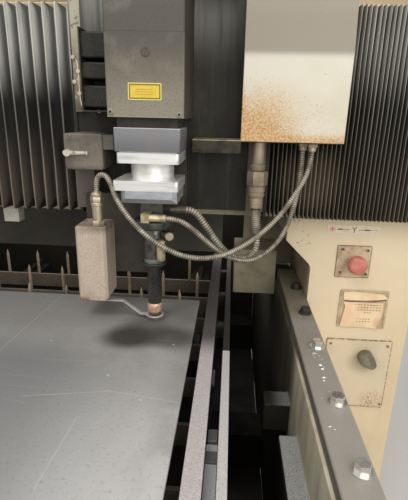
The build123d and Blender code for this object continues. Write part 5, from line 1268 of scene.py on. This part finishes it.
redCap = plasticFinish("stopRed", (190, 106, 94), (224, 148, 128), (158, 66, 58))
knobBlack = plasticFinish("knobBlack", (104, 100, 88), (150, 142, 122), (74, 70, 60))
finishOf.update({"table": tableFinish(), "stripsCream": stripsFinish(), "red": redCap, "knob": knobBlack})
dressing = {  # finish and width of the eased edges, then the nodes that get them
    ("wall", 0.003): ("bed_walls",), ("pan", 0.001): ("bed_pan",),
    ("under", 0.003): ("bed_base", "bed_feet", "slag_tray", "table_blocks"),
    ("inner", 0.0006): ("table_rails", "bridge_rails", "guide_blocks", "lift_rails"),
    ("bars", 0.0009): ("guide_bars",), ("bolt", 0.0006): ("bar_bolts",),
    ("leg", 0.002): ("portal_leg_right",),
    ("cream", 0.002): ("portal_leg_left", "beam_duct", "bellows_end_plates"),
    ("beam", 0.002): ("cross_beam",), ("limitPlate", 0.001): ("limit_bracket",),
    ("curtain", 0.0008): ("rear_curtain",),
    ("stopPlate", 0.0006): ("stop_plate",), ("panel", 0.0006): ("switch_panel",),
    ("red", 0.0006): ("stop_button",), ("knob", 0.0008): ("rotary_knob",),
    ("table", 0.001): ("table_frame",), ("pinBars", 0.0008): ("pin_bars",), ("pins", 0): ("support_pins",),
    ("sheet", 0.0007): ("work_sheet",), ("strip", 0.0008): ("side_strips",),
    ("carriage", 0.001): ("carriage_plate",), ("stripsCream", 0.0008): ("carriage_strips",),
    ("cast", 0.001): ("cast_block",), ("dark", 0.0006): ("valve_tray", "sensor_bracket", "head_sleeve"),
    ("valve", 0.0012): ("valve_blocks",), ("cover", 0.0008): ("head_cover", "mirror_housing"),
    ("inner", 0.002): ("drive_motors",), ("cream", 0.001): ("junction_box",),
    ("boxWhite", 0.0012): ("junction_box_lid",), ("shelf", 0.0007): ("box_shelf",),
    ("inner", 0.0011): ("slide_plate",), ("lens", 0.0008): ("lens_block",), ("flange", 0.0008): ("lens_holder",),
    ("lower", 0.0008): ("lower_block",), ("cap", 0.0008): ("torch_cap",), ("barrel", 0.0008): ("torch_barrel",),
    ("tube", 0.0005): ("torch_tube",), ("copper", 0.0004): ("nozzle",), ("fittings", 0.0006): ("torch_fittings",),
    ("sensor", 0.0015): ("sensor_box",), ("finger", 0.0003): ("sensor_finger",),
}
easing = {"weld": 0.00002, "segments": 2, "angle": math.radians(40)}
for (finish, ease), names in dressing.items():
    for name in names:
        node = nodes[name]
        for place in node.material_slots:
            place.material = finishOf[finish]
        if ease:
            weld = node.modifiers.new("weld", "WELD")
            weld.merge_threshold = easing["weld"]
            bevel = node.modifiers.new("ease", "BEVEL")
            bevel.width = ease
            bevel.segments = easing["segments"]
            bevel.limit_method = "ANGLE"
            bevel.angle_limit = easing["angle"]
            bevel.harden_normals = True
dressed = {name for names in dressing.values() for name in names}
left = [name for name in nodes if name not in dressed and not nodes[name].hide_render]
print("dressed:", len(dressed), "left:", left)

# Floor, light and camera

studio = {
    "reach": 9.0, "world": 0.66, "backdrop": 0.9, "sky": (0.98, 0.97, 0.95, 1), "warm": (1.0, 0.97, 0.92),
    "lamps": {
        "keyLamp": {"place": (-0.4, -1.6, 3.8), "target": (0.4, 0.0, 1.0), "power": 36, "size": 1.6},
        "fillLamp": {"place": (1.6, -2.6, 1.9), "target": (0.5, 0.0, 1.0), "power": 32, "size": 2.0},
    },
}


def floorFinish():  # pale, matt floor
    f = Finish("floorPale")
    f.base((0.70, 0.69, 0.67, 1), (0.68, 0.67, 0.65, 1), f.cloud(2, 3).rise(0.4, 0.7))
    return f.done(0.88 + f.cloud(30, 2) * 0.04)


reach = studio["reach"]
corners = [(-reach, -reach, 0), (reach, -reach, 0), (reach, reach, 0), (-reach, reach, 0)]
floorMesh = bpy.data.meshes.new("studioFloor")
floorMesh.from_pydata(corners, [], [(0, 1, 2, 3)])
floorMesh.materials.append(floorFinish())
floor = bpy.data.objects.new("studioFloor", floorMesh)
bpy.context.scene.collection.objects.link(floor)

world = bpy.data.worlds.new("studioWorld")
bpy.context.scene.world = world
world.use_nodes = True
sky = Sockets(world.node_tree)
seen = sky.node("ShaderNodeLightPath", out="Is Camera Ray")
mirrored = sky.node("ShaderNodeLightPath", out="Is Glossy Ray")
level = (seen + mirrored).smaller(1.0) * (studio["backdrop"] - studio["world"]) + studio["world"]
backdrop = world.node_tree.nodes["Background"].inputs
world.node_tree.links.new(level.socket, backdrop["Strength"])
backdrop["Color"].default_value = studio["sky"]

for name, lamp in studio["lamps"].items():
    light = bpy.data.lights.new(name, "AREA")
    light.energy = lamp["power"]
    light.size = lamp["size"]
    light.color = studio["warm"]
    made = bpy.data.objects.new(name, light)
    made.location = lamp["place"]
    made.rotation_euler = (Vector(lamp["target"]) - Vector(lamp["place"])).to_track_quat("-Z", "Y").to_euler()
    bpy.context.scene.collection.objects.link(made)

view = {"place": (0.566, -0.850, 1.3364), "right": (0.99747297, 0.06745662, 0.02229963),
        "down": (0.0416734, -0.30130624, -0.95261633), "ahead": (-0.05754126, 0.95113835, -0.30335598),
        "lens": 30.456, "sensor": 36, "near": 0.01}
lens = bpy.data.cameras.new("photoView")
lens.lens = view["lens"]
lens.sensor_width = view["sensor"]
lens.clip_start = view["near"]
camera = bpy.data.objects.new("photoView", lens)
bpy.context.scene.collection.objects.link(camera)
right, up, behind = Vector(view["right"]), -Vector(view["down"]), -Vector(view["ahead"])
turned = Matrix((right, up, behind)).transposed()
camera.matrix_world = Matrix.Translation(view["place"]) @ turned.to_4x4()
bpy.context.scene.camera = camera
bpy.context.scene.view_settings.view_transform = "Standard"

print("scene done")
